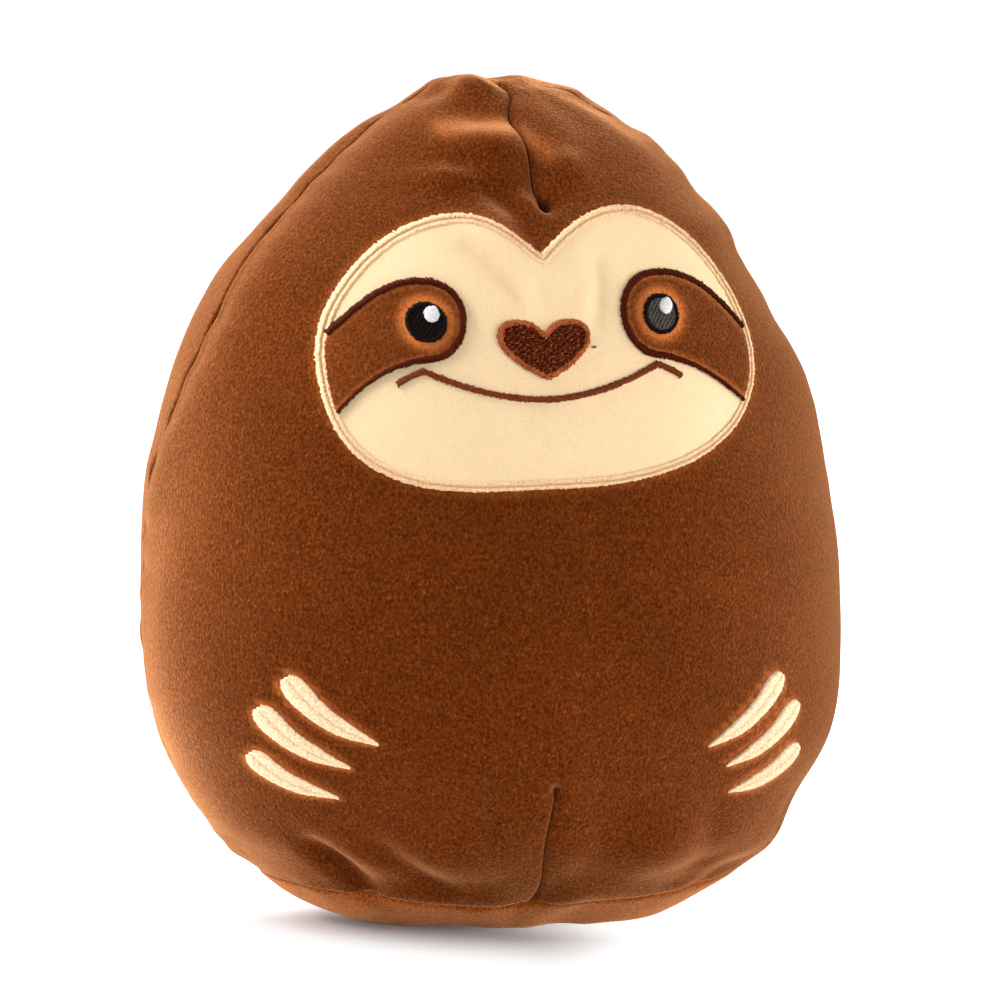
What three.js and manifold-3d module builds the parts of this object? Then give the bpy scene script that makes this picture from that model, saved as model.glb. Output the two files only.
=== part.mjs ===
// An egg-shaped plush sloth: four sewn panels round a fibre filling, two darts that round the
// front, a sewn-on face patch with its embroidery, and six embroidered claws.
// Millimetres, +Z up. The toy stands on its base panel and its face looks towards -Y.
// Left and right are as seen by someone who looks at the face, so left is -X.
import * as THREE from 'three';
import { mergeVertices } from 'three/addons/utils/BufferGeometryUtils.js';
import Module from 'manifold-3d';

const wasm = await Module();
wasm.setup();

// Body
const HEIGHT = 200;
const WIDTH = 169;
const FRONT_DEPTH = 64;
const BACK_DEPTH = 60;
const WIDEST_HEIGHT = 82;
const SOLE_WIDTH = 78;
const CROWN_ROUNDNESS = 1.8;
const BELLY_ROUNDNESS = 2.3;
const BELLY_DROP = 2.8;

// Cloth, seams and the gap that is kept between neighbouring pieces
const FABRIC_THICKNESS = 2;
const ALLOWANCE_DEPTH = 4;
const ALLOWANCE_THICKNESS = 1.5;
const CLEARANCE = 0.3;
const HOLLOW_REACH = 4;
const SIDE_SEAM_HOLLOW = 1.4;
const BACK_SEAM_HOLLOW = 1.1;
const BASE_SEAM_HOLLOW = 1.3;

// Course of the side seams: forward of the widest line at the face, behind it at the claws
const SEAM_FORWARD = 9;
const SEAM_FORWARD_DROP = 48;
const SEAM_BACKWARD = 6;
const SEAM_BACKWARD_HEIGHT = 55;

// Base panel: its seam is lowest in front and at the back, and rises at the sides
const BASE_SEAM_HEIGHT = 7;
const BASE_SEAM_RISE = 4;
const BASE_SEAM_BLEND = 34;

// Darts on the front centre line, one down from the crown and one up from the base seam
const CROWN_DART_LENGTH = 31;
const CROWN_DART_HOLLOW = 3.2;
const CROWN_DART_REACH = 6;
const BASE_DART_LENGTH = 30;
const BASE_DART_HOLLOW = 1.5;
const BASE_DART_REACH = 4;
const DART_FADE = 8;

// Face patch, placed by how far its widest line lies below the crown
const FACE_DROP = 65;
const FACE_WIDTH = 104;
const FACE_RISE = 34.5;
const FACE_FALL = 29;
const FACE_LOBE_SPACING = 42;
const FACE_NOTCH_DEPTH = 11.5;
const FACE_FABRIC = 1;
const BORDER_WIDTH = 1.9;
const BORDER_HEIGHT = 1.2;

// Eye patches, placed from the face patch's centre
const EYE_SPACING = 57;
const EYE_PATCH_LIFT = 10;
const EYE_PATCH_RADIUS = 9;
const EYE_PATCH_INNER_REACH = 10.2;
const EYE_PATCH_TAIL_REACH = 22;
const EYE_PATCH_TAIL_DROP = 21.5;
const EYE_PATCH_BROW_DROP = 6;
const EYE_PATCH_FABRIC = 0.8;
const EYE_EDGING_WIDTH = 1.7;
const EMBROIDERY_HEIGHT = 0.8;

// Eyes
const EYE_DIP = 0.6;
const EYE_RADIUS = 4.8;
const HIGHLIGHT_RADIUS = 1.8;
const HIGHLIGHT_SIDE = 1.3;
const HIGHLIGHT_LIFT = 1.9;

// Nose
const NOSE_WIDTH = 22;
const NOSE_HEIGHT = 14;
const NOSE_LOBE_SPACING = 12;
const NOSE_LIFT = 9.5;
const NOSE_DIP = 3.2;
const NOSE_FLANK_DROP = 4;
const NOSE_EDGING_WIDTH = 1.3;

// Mouth
const MOUTH_WIDTH = 55.5;
const MOUTH_DROP = 8.6;
const MOUTH_DEPTH = 7.4;
const MOUTH_LINE = 1.4;
const CHEEK_REACH = 5.6;
const CHEEK_DROP = 4.3;

// Claws: the outer end of each lies in from the widest part of the flank, at a level above the
// floor, and from there the claw slopes down and inwards by an angle in degrees
const CLAW_WIDTH = 5.4;
const CLAW_HEIGHT = 1;
const CLAW_SAG = 1.8;
const UPPER_CLAW_INSET = 26.5;
const UPPER_CLAW_LEVEL = 60.6;
const UPPER_CLAW_LENGTH = 24.5;
const UPPER_CLAW_SLOPE = 38;
const MIDDLE_CLAW_INSET = 20.9;
const MIDDLE_CLAW_LEVEL = 53.4;
const MIDDLE_CLAW_LENGTH = 23.5;
const MIDDLE_CLAW_SLOPE = 34.5;
const LOWER_CLAW_INSET = 19.6;
const LOWER_CLAW_LEVEL = 42.6;
const LOWER_CLAW_LENGTH = 21.6;
const LOWER_CLAW_SLOPE = 27;

// Stiffening cloth behind the embroidery
const BACKING_THICKNESS = 0.6;
const BACKING_MARGIN = 5;
const BACKING_SQUARENESS = 2.4;

// Shape of the drawn outlines: how far a curve fills the corner that it rounds, from 0 to 1
const NOTCH_FULLNESS = 0.7;
const TEMPLE_FULLNESS = 0.5;
const JAW_FULLNESS = 0.66;
const EYE_PATCH_FULLNESS = 0.58;
const EYE_PATCH_TAPER = 0.25;
const NOSE_FULLNESS = 0.65;
const MOUTH_FULLNESS = 0.65;

// Shape of a claw: the share of its length that is its blunt end, and where its taper starts
const CLAW_BLUNT_SHARE = 0.13;
const CLAW_TAPER_SHARE = 0.35;

// Facets
const OUTER = { columns: 48, crownRows: 15, bellyRows: 9 };
const INNER = { columns: 24, crownRows: 9, bellyRows: 6 };
const COLUMN_CROWDING = 0.15;
const ROW_CROWDING = 1.4;
const SEAM_ROW_GAP = 2.6;
const SEAM_STEPS = 80;
const CURVE_STEPS = 9;
const SMALL_CURVE_STEPS = 6;
const CLAW_STEPS = 10;
const OVAL_STEPS = 36;
const EYE_STEPS = 18;
const HIGHLIGHT_STEPS = 12;
const NOTHING = 0.001;

const BROWN = { color: '#7b401c', roughness: 0.95 };
const BROWN_BASE = { color: '#733a19', roughness: 0.95 };
const CREAM = { color: '#efd9b0', roughness: 0.9 };
const SATIN = { color: '#f6e3b6', roughness: 0.55 };
const DARK_THREAD = { color: '#4a1d0c', roughness: 0.6 };
const RUST_THREAD = { color: '#7a3418', roughness: 0.6 };
const BLACK_THREAD = { color: '#140d0b', roughness: 0.5 };
const WHITE_THREAD = { color: '#f1efec', roughness: 0.5 };
const FLEECE = { color: '#f4f2ee', roughness: 1 };
const BACKING = { color: '#e8e6e0', roughness: 0.9 };

const halfTurn = Math.PI;
const quarterTurn = Math.PI / 2;
const faceHeight = HEIGHT - FACE_DROP;
const crownDartTip = HEIGHT - CROWN_DART_LENGTH;
const baseDartTip = BASE_SEAM_HEIGHT + BASE_DART_LENGTH;
const flank = WIDTH / 2;

const claws = [
  {
    side: flank - UPPER_CLAW_INSET,
    level: UPPER_CLAW_LEVEL,
    length: UPPER_CLAW_LENGTH,
    slope: UPPER_CLAW_SLOPE,
  },
  {
    side: flank - MIDDLE_CLAW_INSET,
    level: MIDDLE_CLAW_LEVEL,
    length: MIDDLE_CLAW_LENGTH,
    slope: MIDDLE_CLAW_SLOPE,
  },
  {
    side: flank - LOWER_CLAW_INSET,
    level: LOWER_CLAW_LEVEL,
    length: LOWER_CLAW_LENGTH,
    slope: LOWER_CLAW_SLOPE,
  },
];

// Body surface

function halfWidthAt(z) {
  const up = THREE.MathUtils.clamp((z - WIDEST_HEIGHT) / (HEIGHT - WIDEST_HEIGHT), 0, 1);
  if (z >= WIDEST_HEIGHT) {
    return flank * (1 - up ** CROWN_ROUNDNESS) ** (1 / CROWN_ROUNDNESS);
  }
  const down = THREE.MathUtils.clamp((WIDEST_HEIGHT - z) / WIDEST_HEIGHT, 0, 1);
  const narrowing = 1 - (SOLE_WIDTH / WIDTH) ** BELLY_ROUNDNESS;
  return flank * (1 - narrowing * down ** BELLY_DROP) ** (1 / BELLY_ROUNDNESS);
}

const seamCourse = new THREE.CatmullRomCurve3([
  new THREE.Vector3(0, 0, 0),
  new THREE.Vector3(0, 0, BASE_SEAM_HEIGHT + BASE_SEAM_RISE),
  new THREE.Vector3(0, SEAM_BACKWARD, SEAM_BACKWARD_HEIGHT),
  new THREE.Vector3(0, -SEAM_FORWARD, HEIGHT - SEAM_FORWARD_DROP),
  new THREE.Vector3(0, 0, HEIGHT),
]).getPoints(SEAM_STEPS);

function sideSeamAt(z) {
  const above = seamCourse.findIndex((point) => point.z >= z);
  if (above < 0) {
    return seamCourse.at(-1).y;
  }
  if (above === 0) {
    return seamCourse[0].y;
  }
  const low = seamCourse[above - 1];
  const high = seamCourse[above];
  return THREE.MathUtils.mapLinear(z, low.z, high.z, low.y, high.y);
}

function baseSeamAt(angle) {
  return BASE_SEAM_HEIGHT + BASE_SEAM_RISE * Math.sin(angle) ** 2;
}

// A hollow that falls off smoothly on both sides of a seam
function hollow(distance, reach) {
  return Math.exp(-((distance / reach) ** 2));
}

function sewnDepthAt(x, y, z, angle) {
  const depths = [
    SIDE_SEAM_HOLLOW * hollow(y - sideSeamAt(z), HOLLOW_REACH),
    BASE_SEAM_HOLLOW * hollow(z - baseSeamAt(angle), HOLLOW_REACH),
  ];
  if (y > 0) {
    depths.push(BACK_SEAM_HOLLOW * hollow(x, HOLLOW_REACH));
  } else {
    const past = (tip) => THREE.MathUtils.smoothstep(z, tip - DART_FADE, tip + DART_FADE);
    const crownDart = past(crownDartTip);
    const baseDart = 1 - past(baseDartTip);
    depths.push(CROWN_DART_HOLLOW * crownDart * hollow(x, CROWN_DART_REACH));
    depths.push(BASE_DART_HOLLOW * baseDart * hollow(x, BASE_DART_REACH));
  }
  return Math.max(...depths);
}

function outwardNormal(x, y, z, halfWidth, halfDepth) {
  const step = 0.01;
  const flare = (halfWidthAt(z + step) - halfWidthAt(z - step)) / (2 * step);
  const normal = new THREE.Vector3(x / halfWidth ** 2, y / halfDepth ** 2, -flare / halfWidth);
  return normal.normalize();
}

// The point of the body at an angle from the front and a row's height, moved out by an offset
function bodyPoint(turn, rowHeight, offset) {
  const angle = turn - COLUMN_CROWDING * Math.sin(4 * turn);
  const blendEnd = BASE_SEAM_HEIGHT + BASE_SEAM_BLEND;
  const share = rowHeight < BASE_SEAM_HEIGHT
    ? rowHeight / BASE_SEAM_HEIGHT
    : 1 - THREE.MathUtils.smoothstep(rowHeight, BASE_SEAM_HEIGHT, blendEnd);
  const z = rowHeight + BASE_SEAM_RISE * Math.sin(angle) ** 2 * share;
  const halfWidth = halfWidthAt(z);
  if (halfWidth < NOTHING) {
    return new THREE.Vector3(0, 0, HEIGHT - sewnDepthAt(0, 0, HEIGHT, 0) + offset);
  }
  const seamY = sideSeamAt(z);
  const seamHalfDepth = halfWidth * (seamY < 0 ? FRONT_DEPTH : BACK_DEPTH) / flank;
  const mostTurn = halfTurn / 4;
  const sineOfTurn = Math.sin(mostTurn);
  const seamTurn = Math.asin(THREE.MathUtils.clamp(seamY / seamHalfDepth, -sineOfTurn, sineOfTurn));
  const side = Math.sign(Math.sin(angle)) || 1;
  const seamAngle = angle + side * seamTurn * Math.sin(angle) ** 2;
  const halfDepth = halfWidth * (Math.cos(seamAngle) > 0 ? FRONT_DEPTH : BACK_DEPTH) / flank;
  const x = halfWidth * Math.sin(seamAngle);
  const y = -halfDepth * Math.cos(seamAngle);
  const normal = outwardNormal(x, y, z, halfWidth, halfDepth);
  const point = new THREE.Vector3(x, y, z);
  return point.addScaledVector(normal, offset - sewnDepthAt(x, y, z, angle));
}

// Row heights from the sole to the crown, with three rows close round the base seam
function rowHeights(facets) {
  const lowest = BASE_SEAM_HEIGHT + SEAM_ROW_GAP;
  const heights = [0, BASE_SEAM_HEIGHT / 4, BASE_SEAM_HEIGHT - SEAM_ROW_GAP, BASE_SEAM_HEIGHT];
  for (let i = 0; i < facets.bellyRows; i += 1) {
    heights.push(lowest + (WIDEST_HEIGHT - lowest) * (i / facets.bellyRows) ** ROW_CROWDING);
  }
  for (let i = 0; i <= facets.crownRows; i += 1) {
    const lift = Math.sin((i / facets.crownRows) * quarterTurn) ** (2 / CROWN_ROUNDNESS);
    heights.push(WIDEST_HEIGHT + (HEIGHT - WIDEST_HEIGHT) * lift);
  }
  return heights;
}

// Solids

function toSolid(geometry) {
  const bare = geometry.clone();
  bare.deleteAttribute('normal');
  bare.deleteAttribute('uv');
  const merged = mergeVertices(bare, NOTHING / 10);
  const triangles = [];
  for (let i = 0; i < merged.index.count; i += 3) {
    const [a, b, c] = [0, 1, 2].map((k) => merged.index.getX(i + k));
    if (a !== b && b !== c && c !== a) {
      triangles.push(a, b, c);
    }
  }
  return new wasm.Manifold(new wasm.Mesh({
    numProp: 3,
    vertProperties: new Float32Array(merged.attributes.position.array),
    triVerts: new Uint32Array(triangles),
  }));
}

// The whole egg as one closed solid: a revolved grid whose points are set on the body
function egg(offset, facets) {
  const heights = rowHeights(facets);
  const profile = [0, ...heights].map((z, row) => new THREE.Vector2(row === 0 ? 0 : halfWidthAt(z), z));
  const geometry = new THREE.LatheGeometry(profile, facets.columns);
  const { position, uv } = geometry.attributes;
  for (let i = 0; i < position.count; i += 1) {
    const row = Math.round(uv.getY(i) * (profile.length - 1));
    const turn = (uv.getX(i) % 1) * 2 * halfTurn;
    const point = row === 0 ? new THREE.Vector3() : bodyPoint(turn, heights[row - 1], offset);
    const z = row < 2 ? -offset : Math.max(point.z, -offset);
    position.setXYZ(i, point.x, point.y, z);
  }
  return toSolid(geometry);
}

function layer(from, to, facets = OUTER) {
  return egg(to, facets).subtract(egg(from, facets));
}

// An outline drawn on the XZ plane, cut towards the front and past the cloth
function frontPrism(points) {
  const depth = 2 * FRONT_DEPTH;
  const geometry = new THREE.ExtrudeGeometry(new THREE.Shape(points), { depth, bevelEnabled: false });
  const frame = new THREE.Matrix4().makeBasis(
    new THREE.Vector3(1, 0, 0),
    new THREE.Vector3(0, 0, 1),
    new THREE.Vector3(0, -1, 0),
  );
  return toSolid(geometry.applyMatrix4(frame));
}

// An outline drawn on the YZ plane, cut from side to side
function sidePrism(points) {
  const options = { depth: 2 * WIDTH, bevelEnabled: false };
  const geometry = new THREE.ExtrudeGeometry(new THREE.Shape(points), options);
  const frame = new THREE.Matrix4().makeBasis(
    new THREE.Vector3(0, 1, 0),
    new THREE.Vector3(0, 0, 1),
    new THREE.Vector3(1, 0, 0),
  ).setPosition(-WIDTH, 0, 0);
  return toSolid(geometry.applyMatrix4(frame));
}

function block(low, high) {
  const size = new THREE.Vector3().subVectors(high, low);
  const centre = new THREE.Vector3().addVectors(high, low).multiplyScalar(0.5);
  const geometry = new THREE.BoxGeometry(size.x, size.y, size.z);
  return toSolid(geometry.translate(centre.x, centre.y, centre.z));
}

function joined(solids) {
  return solids.reduce((whole, solid) => whole.add(solid));
}

// Seams as walls that cut the cloth into panels

const beyond = HEIGHT + WIDTH;
const topHeights = rowHeights(OUTER).filter((z) => z > BASE_SEAM_HEIGHT);
const seamHeights = [-HEIGHT, ...topHeights, beyond];

// Everything in front of the side seams, less a margin
function inFrontOfSeam(margin) {
  const edge = seamHeights.map((z) => new THREE.Vector2(sideSeamAt(z) - margin, z));
  return sidePrism([...edge, new THREE.Vector2(-beyond, beyond), new THREE.Vector2(-beyond, -HEIGHT)]);
}

function behindSeam(margin) {
  const edge = seamHeights.map((z) => new THREE.Vector2(sideSeamAt(z) + margin, z));
  return sidePrism([...edge, new THREE.Vector2(beyond, beyond), new THREE.Vector2(beyond, -HEIGHT)]);
}

// Everything above the base seam, raised by a margin
function aboveBaseSeam(margin) {
  const edge = [];
  for (let i = 0; i <= OUTER.columns / 2; i += 1) {
    const turn = (i / OUTER.columns) * 2 * halfTurn - quarterTurn;
    const point = bodyPoint(turn, BASE_SEAM_HEIGHT, 0);
    edge.push(new THREE.Vector2(point.x, point.z + margin));
  }
  const start = new THREE.Vector2(-beyond, edge[0].y);
  const end = new THREE.Vector2(beyond, edge.at(-1).y);
  const roof = [new THREE.Vector2(beyond, beyond), new THREE.Vector2(-beyond, beyond)];
  const geometry = new THREE.ExtrudeGeometry(
    new THREE.Shape([start, ...edge, end, ...roof]),
    { depth: 2 * beyond, bevelEnabled: false },
  );
  const frame = new THREE.Matrix4().makeBasis(
    new THREE.Vector3(1, 0, 0),
    new THREE.Vector3(0, 0, 1),
    new THREE.Vector3(0, -1, 0),
  ).setPosition(0, beyond, 0);
  return toSolid(geometry.applyMatrix4(frame));
}

function dartWalls(halfThickness) {
  const crown = block(
    new THREE.Vector3(-halfThickness, -beyond, crownDartTip),
    new THREE.Vector3(halfThickness, 0, beyond),
  );
  const base = block(
    new THREE.Vector3(-halfThickness, -beyond, -HEIGHT),
    new THREE.Vector3(halfThickness, 0, baseDartTip),
  );
  return crown.add(base);
}

function backWall(halfThickness) {
  return block(
    new THREE.Vector3(-halfThickness, 0, -HEIGHT),
    new THREE.Vector3(halfThickness, beyond, beyond),
  );
}

// Room on both sides of every seam above the base, for the cloth that is turned in
function upperSeamWalls(halfThickness) {
  const everywhere = block(
    new THREE.Vector3(-beyond, -beyond, -HEIGHT),
    new THREE.Vector3(beyond, beyond, beyond),
  );
  const sides = everywhere
    .subtract(inFrontOfSeam(halfThickness))
    .subtract(behindSeam(halfThickness));
  return joined([sides, backWall(halfThickness), dartWalls(halfThickness)]);
}

function baseSeamWall(halfThickness) {
  return aboveBaseSeam(-halfThickness).subtract(aboveBaseSeam(halfThickness));
}

// Sewn panels and filling

const turnedInReach = CLEARANCE / 2 + ALLOWANCE_THICKNESS;

function sewnPanels() {
  const half = CLEARANCE / 2;
  const reach = turnedInReach;
  const cloth = egg(0, OUTER).subtract(egg(-FABRIC_THICKNESS, INNER));
  const turnedIn = layer(-FABRIC_THICKNESS - ALLOWANCE_DEPTH, -FABRIC_THICKNESS / 2, INNER);
  const upper = cloth
    .add(turnedIn.intersect(upperSeamWalls(reach).add(baseSeamWall(reach))))
    .intersect(aboveBaseSeam(half));
  const base = cloth
    .add(turnedIn.intersect(baseSeamWall(reach)))
    .subtract(aboveBaseSeam(-half));
  const back = upper.intersect(behindSeam(half)).subtract(backWall(half));
  const leftSide = block(
    new THREE.Vector3(-beyond, -beyond, -beyond),
    new THREE.Vector3(0, beyond, beyond),
  );
  return {
    front: upper.intersect(inFrontOfSeam(half)).subtract(dartWalls(half)),
    backLeft: back.intersect(leftSide),
    backRight: back.subtract(leftSide),
    base,
  };
}

function fibreFilling() {
  const reach = turnedInReach + CLEARANCE;
  const filling = egg(-FABRIC_THICKNESS - CLEARANCE, INNER);
  const grooveFloor = egg(-FABRIC_THICKNESS - ALLOWANCE_DEPTH - CLEARANCE, INNER);
  const upperGrooves = upperSeamWalls(reach).intersect(aboveBaseSeam(-reach));
  const grooves = upperGrooves.add(baseSeamWall(reach)).subtract(grooveFloor);
  const backings = [
    faceBackingOutline(CLEARANCE),
    clawBackingOutline(-1, CLEARANCE),
    clawBackingOutline(1, CLEARANCE),
  ];
  const pocketFloor = egg(-FABRIC_THICKNESS - BACKING_THICKNESS - 2 * CLEARANCE, INNER);
  const pockets = joined(backings.map((outline) => frontPrism(outline))).subtract(pocketFloor);
  return filling.subtract(grooves).subtract(pockets);
}

// Outlines, as points on the XZ plane

function curvePoints(curves, pointsEach) {
  return curves.flatMap((curve, i) => {
    const points = curve.getPoints(pointsEach);
    return i === 0 ? points : points.slice(1);
  });
}

function bezier(...corners) {
  const points = corners.map(([x, z]) => new THREE.Vector2(x, z));
  return new THREE.CubicBezierCurve(...points);
}

// A curve from one point to another round a corner, which it fills out by a share
function rounded(from, corner, to, fullness) {
  const towardsCorner = ([x, z]) => [
    THREE.MathUtils.lerp(x, corner[0], fullness),
    THREE.MathUtils.lerp(z, corner[1], fullness),
  ];
  return bezier(from, towardsCorner(from), towardsCorner(to), to);
}

// A half outline that starts and ends on the centre line, with its mirror image added
function mirrored(halfOutline) {
  const other = halfOutline.slice(1, -1).reverse();
  return [...halfOutline, ...other.map((point) => new THREE.Vector2(-point.x, point.y))];
}

function flipped(outline, side) {
  return side < 0 ? outline : outline.map((point) => new THREE.Vector2(-point.x, point.y)).reverse();
}

function distanceToOutline(point, outline) {
  const closest = outline.map((start, i) => {
    const end = outline[(i + 1) % outline.length];
    const along = new THREE.Vector2().subVectors(end, start);
    const share = new THREE.Vector2().subVectors(point, start).dot(along) / along.lengthSq();
    return start.clone().addScaledVector(along, THREE.MathUtils.clamp(share, 0, 1)).distanceTo(point);
  });
  return Math.min(...closest);
}

// The outline drawn in by a distance, or out where the distance is below zero
function inset(outline, distance) {
  const inwards = THREE.ShapeUtils.isClockWise(outline) ? -1 : 1;
  const leastKept = 0.97 * Math.abs(distance);
  const moved = outline.map((point, i) => {
    const before = outline.at(i - 1);
    const after = outline[(i + 1) % outline.length];
    const along = new THREE.Vector2().subVectors(after, before).normalize();
    return new THREE.Vector2(
      point.x - inwards * along.y * distance,
      point.y + inwards * along.x * distance,
    );
  });
  return moved.filter((point) => distanceToOutline(point, outline) > leastKept);
}

// A line of even width with round ends
function strokePoints(centreLine, width) {
  const radius = width / 2;
  const sides = [[], []];
  centreLine.forEach((point, i) => {
    const before = centreLine[Math.max(i - 1, 0)];
    const after = centreLine[Math.min(i + 1, centreLine.length - 1)];
    const along = new THREE.Vector2().subVectors(after, before).normalize();
    const across = new THREE.Vector2(-along.y, along.x).multiplyScalar(radius);
    sides[0].push(point.clone().add(across));
    sides[1].push(point.clone().sub(across));
  });
  const roundEnd = (centre, from) => {
    const start = new THREE.Vector2().subVectors(from, centre).angle();
    return [0.25, 0.5, 0.75].map((share) => {
      const angle = start - share * halfTurn;
      return new THREE.Vector2(radius * Math.cos(angle), radius * Math.sin(angle)).add(centre);
    });
  };
  return [
    ...sides[0],
    ...roundEnd(centreLine.at(-1), sides[0].at(-1)),
    ...sides[1].reverse(),
    ...roundEnd(centreLine[0], sides[1].at(-1)),
  ];
}

function facePatchOutline() {
  const side = FACE_WIDTH / 2;
  const lobe = FACE_LOBE_SPACING / 2;
  const top = faceHeight + FACE_RISE;
  const bottom = faceHeight - FACE_FALL;
  const notch = top - FACE_NOTCH_DEPTH;
  return mirrored(curvePoints([
    rounded([0, notch], [lobe / 2, top], [lobe, top], NOTCH_FULLNESS),
    rounded([lobe, top], [side, top], [side, faceHeight], TEMPLE_FULLNESS),
    rounded([side, faceHeight], [side, bottom], [0, bottom], JAW_FULLNESS),
  ], CURVE_STEPS));
}

function faceBackingOutline(growth) {
  const middle = faceHeight + (FACE_RISE - FACE_FALL) / 2;
  const radiusX = FACE_WIDTH / 2 + BACKING_MARGIN + growth;
  const radiusZ = (FACE_RISE + FACE_FALL) / 2 + BACKING_MARGIN + growth;
  return superellipse(0, middle, radiusX, radiusZ, BACKING_SQUARENESS, OVAL_STEPS);
}

function superellipse(x, z, radiusX, radiusZ, squareness, steps) {
  return Array.from({ length: steps }, (_, i) => {
    const angle = (i / steps) * 2 * halfTurn;
    const across = Math.sign(Math.cos(angle)) * Math.abs(Math.cos(angle)) ** (2 / squareness);
    const up = Math.sign(Math.sin(angle)) * Math.abs(Math.sin(angle)) ** (2 / squareness);
    return new THREE.Vector2(x + radiusX * across, z + radiusZ * up);
  });
}

// A round inner end with a tail that runs out under the face patch's border
function eyePatchOutline() {
  const x = -EYE_SPACING / 2;
  const z = faceHeight + EYE_PATCH_LIFT;
  const inner = x + EYE_PATCH_INNER_REACH;
  const top = z + EYE_PATCH_RADIUS;
  const low = z - EYE_PATCH_RADIUS;
  const outer = x - EYE_PATCH_TAIL_REACH;
  const overrun = -FACE_WIDTH / 2 - BORDER_WIDTH;
  const brow = z - EYE_PATCH_BROW_DROP;
  const tail = z - EYE_PATCH_TAIL_DROP;
  const taper = EYE_PATCH_TAPER * EYE_PATCH_TAIL_REACH;
  const tailLow = tail - taper;
  return curvePoints([
    rounded([inner, z], [inner, top], [x, top], EYE_PATCH_FULLNESS),
    bezier([x, top], [x - EYE_PATCH_RADIUS, top], [outer + taper, z], [overrun, brow]),
    new THREE.LineCurve(new THREE.Vector2(overrun, brow), new THREE.Vector2(overrun, tailLow)),
    bezier([overrun, tailLow], [outer + taper, tail + taper], [x - EYE_PATCH_RADIUS, low], [x, low]),
    rounded([x, low], [inner, low], [inner, z], EYE_PATCH_FULLNESS),
  ], SMALL_CURVE_STEPS).slice(0, -1);
}

function circlePoints(x, z, radius, steps) {
  return superellipse(x, z, radius, radius, 2, steps);
}

function heartOutline() {
  const side = NOSE_WIDTH / 2;
  const lobe = NOSE_LOBE_SPACING / 2;
  const top = faceHeight + NOSE_LIFT;
  const tip = top - NOSE_HEIGHT;
  const dip = top - NOSE_DIP;
  const flankTop = top - NOSE_FLANK_DROP;
  const flankLow = THREE.MathUtils.lerp(flankTop, tip, 0.5);
  return mirrored(curvePoints([
    rounded([0, dip], [lobe / 3, top], [lobe, top], NOSE_FULLNESS),
    rounded([lobe, top], [side, top], [side, flankTop], NOSE_FULLNESS),
    rounded([side, flankTop], [side, flankLow], [0, tip], NOSE_FULLNESS),
  ], SMALL_CURVE_STEPS));
}

// A crescent round a sagging spine, blunt at its outer end and pointed at its inner end
function clawOutline(claw, side) {
  const edges = [[], []];
  for (let i = 1; i < CLAW_STEPS; i += 1) {
    const share = (i / CLAW_STEPS) ** ROW_CROWDING;
    const blunt = Math.sqrt(Math.min(1, share / CLAW_BLUNT_SHARE));
    const taper = 1 - THREE.MathUtils.smoothstep(share, CLAW_TAPER_SHARE, 1);
    const half = (CLAW_WIDTH / 2) * blunt * taper;
    const spine = -CLAW_SAG * Math.sin(halfTurn * share);
    edges[0].push(new THREE.Vector2(share * claw.length, spine + half));
    edges[1].push(new THREE.Vector2(share * claw.length, spine - half));
  }
  const tip = new THREE.Vector2(claw.length, 0);
  const level = [new THREE.Vector2(), ...edges[0], tip, ...edges[1].reverse()];
  const slope = THREE.MathUtils.degToRad(-claw.slope);
  const outerEnd = new THREE.Vector2(-claw.side, claw.level);
  const sloped = level.map((point) => point.rotateAround(new THREE.Vector2(), slope).add(outerEnd));
  return flipped(sloped, side);
}

// An oval round the three claws of one side
function clawBackingOutline(side, growth) {
  const points = claws.flatMap((claw) => clawOutline(claw, side));
  const box = new THREE.Box2().setFromPoints(points);
  const middle = box.getCenter(new THREE.Vector2());
  const radius = box.getSize(new THREE.Vector2()).multiplyScalar(0.5);
  radius.addScalar(BACKING_MARGIN + growth);
  return superellipse(middle.x, middle.y, radius.x, radius.y, BACKING_SQUARENESS, OVAL_STEPS);
}

// Face and claws, each cut from the layer of the body that it lies on

const faceLevel = CLEARANCE;
const featureLevel = faceLevel + FACE_FABRIC + CLEARANCE;
const eyeLevel = featureLevel + EYE_PATCH_FABRIC + CLEARANCE;

function cutFrom(prism, level, thickness) {
  return prism.intersect(layer(level, level + thickness));
}

function faceBorder() {
  const outline = facePatchOutline();
  const ring = frontPrism(outline).subtract(frontPrism(inset(outline, BORDER_WIDTH)));
  return cutFrom(ring, faceLevel, BORDER_HEIGHT);
}

function facePatch() {
  const outline = inset(facePatchOutline(), BORDER_WIDTH + CLEARANCE);
  return cutFrom(frontPrism(outline), faceLevel, FACE_FABRIC);
}

// The eye patch's outline stays inside the border by the same margin all round
function eyePatchArea(side, margin) {
  const field = inset(facePatchOutline(), BORDER_WIDTH + 2 * CLEARANCE + margin);
  const outline = eyePatchOutline();
  const shape = margin > 0 ? inset(outline, margin) : outline;
  return frontPrism(flipped(shape, side)).intersect(frontPrism(field));
}

function eyeEdging(side) {
  const ring = eyePatchArea(side, 0).subtract(eyePatchArea(side, EYE_EDGING_WIDTH));
  return cutFrom(ring, featureLevel, EMBROIDERY_HEIGHT);
}

function eyePatch(side) {
  return cutFrom(eyePatchArea(side, EYE_EDGING_WIDTH + CLEARANCE), featureLevel, EYE_PATCH_FABRIC);
}

function eyeCentre(side) {
  return new THREE.Vector2(side * EYE_SPACING / 2, faceHeight + EYE_PATCH_LIFT - EYE_DIP);
}

function highlightArea(side, radius) {
  const centre = eyeCentre(side).add(new THREE.Vector2(HIGHLIGHT_SIDE, HIGHLIGHT_LIFT));
  return frontPrism(circlePoints(centre.x, centre.y, radius, HIGHLIGHT_STEPS));
}

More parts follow.
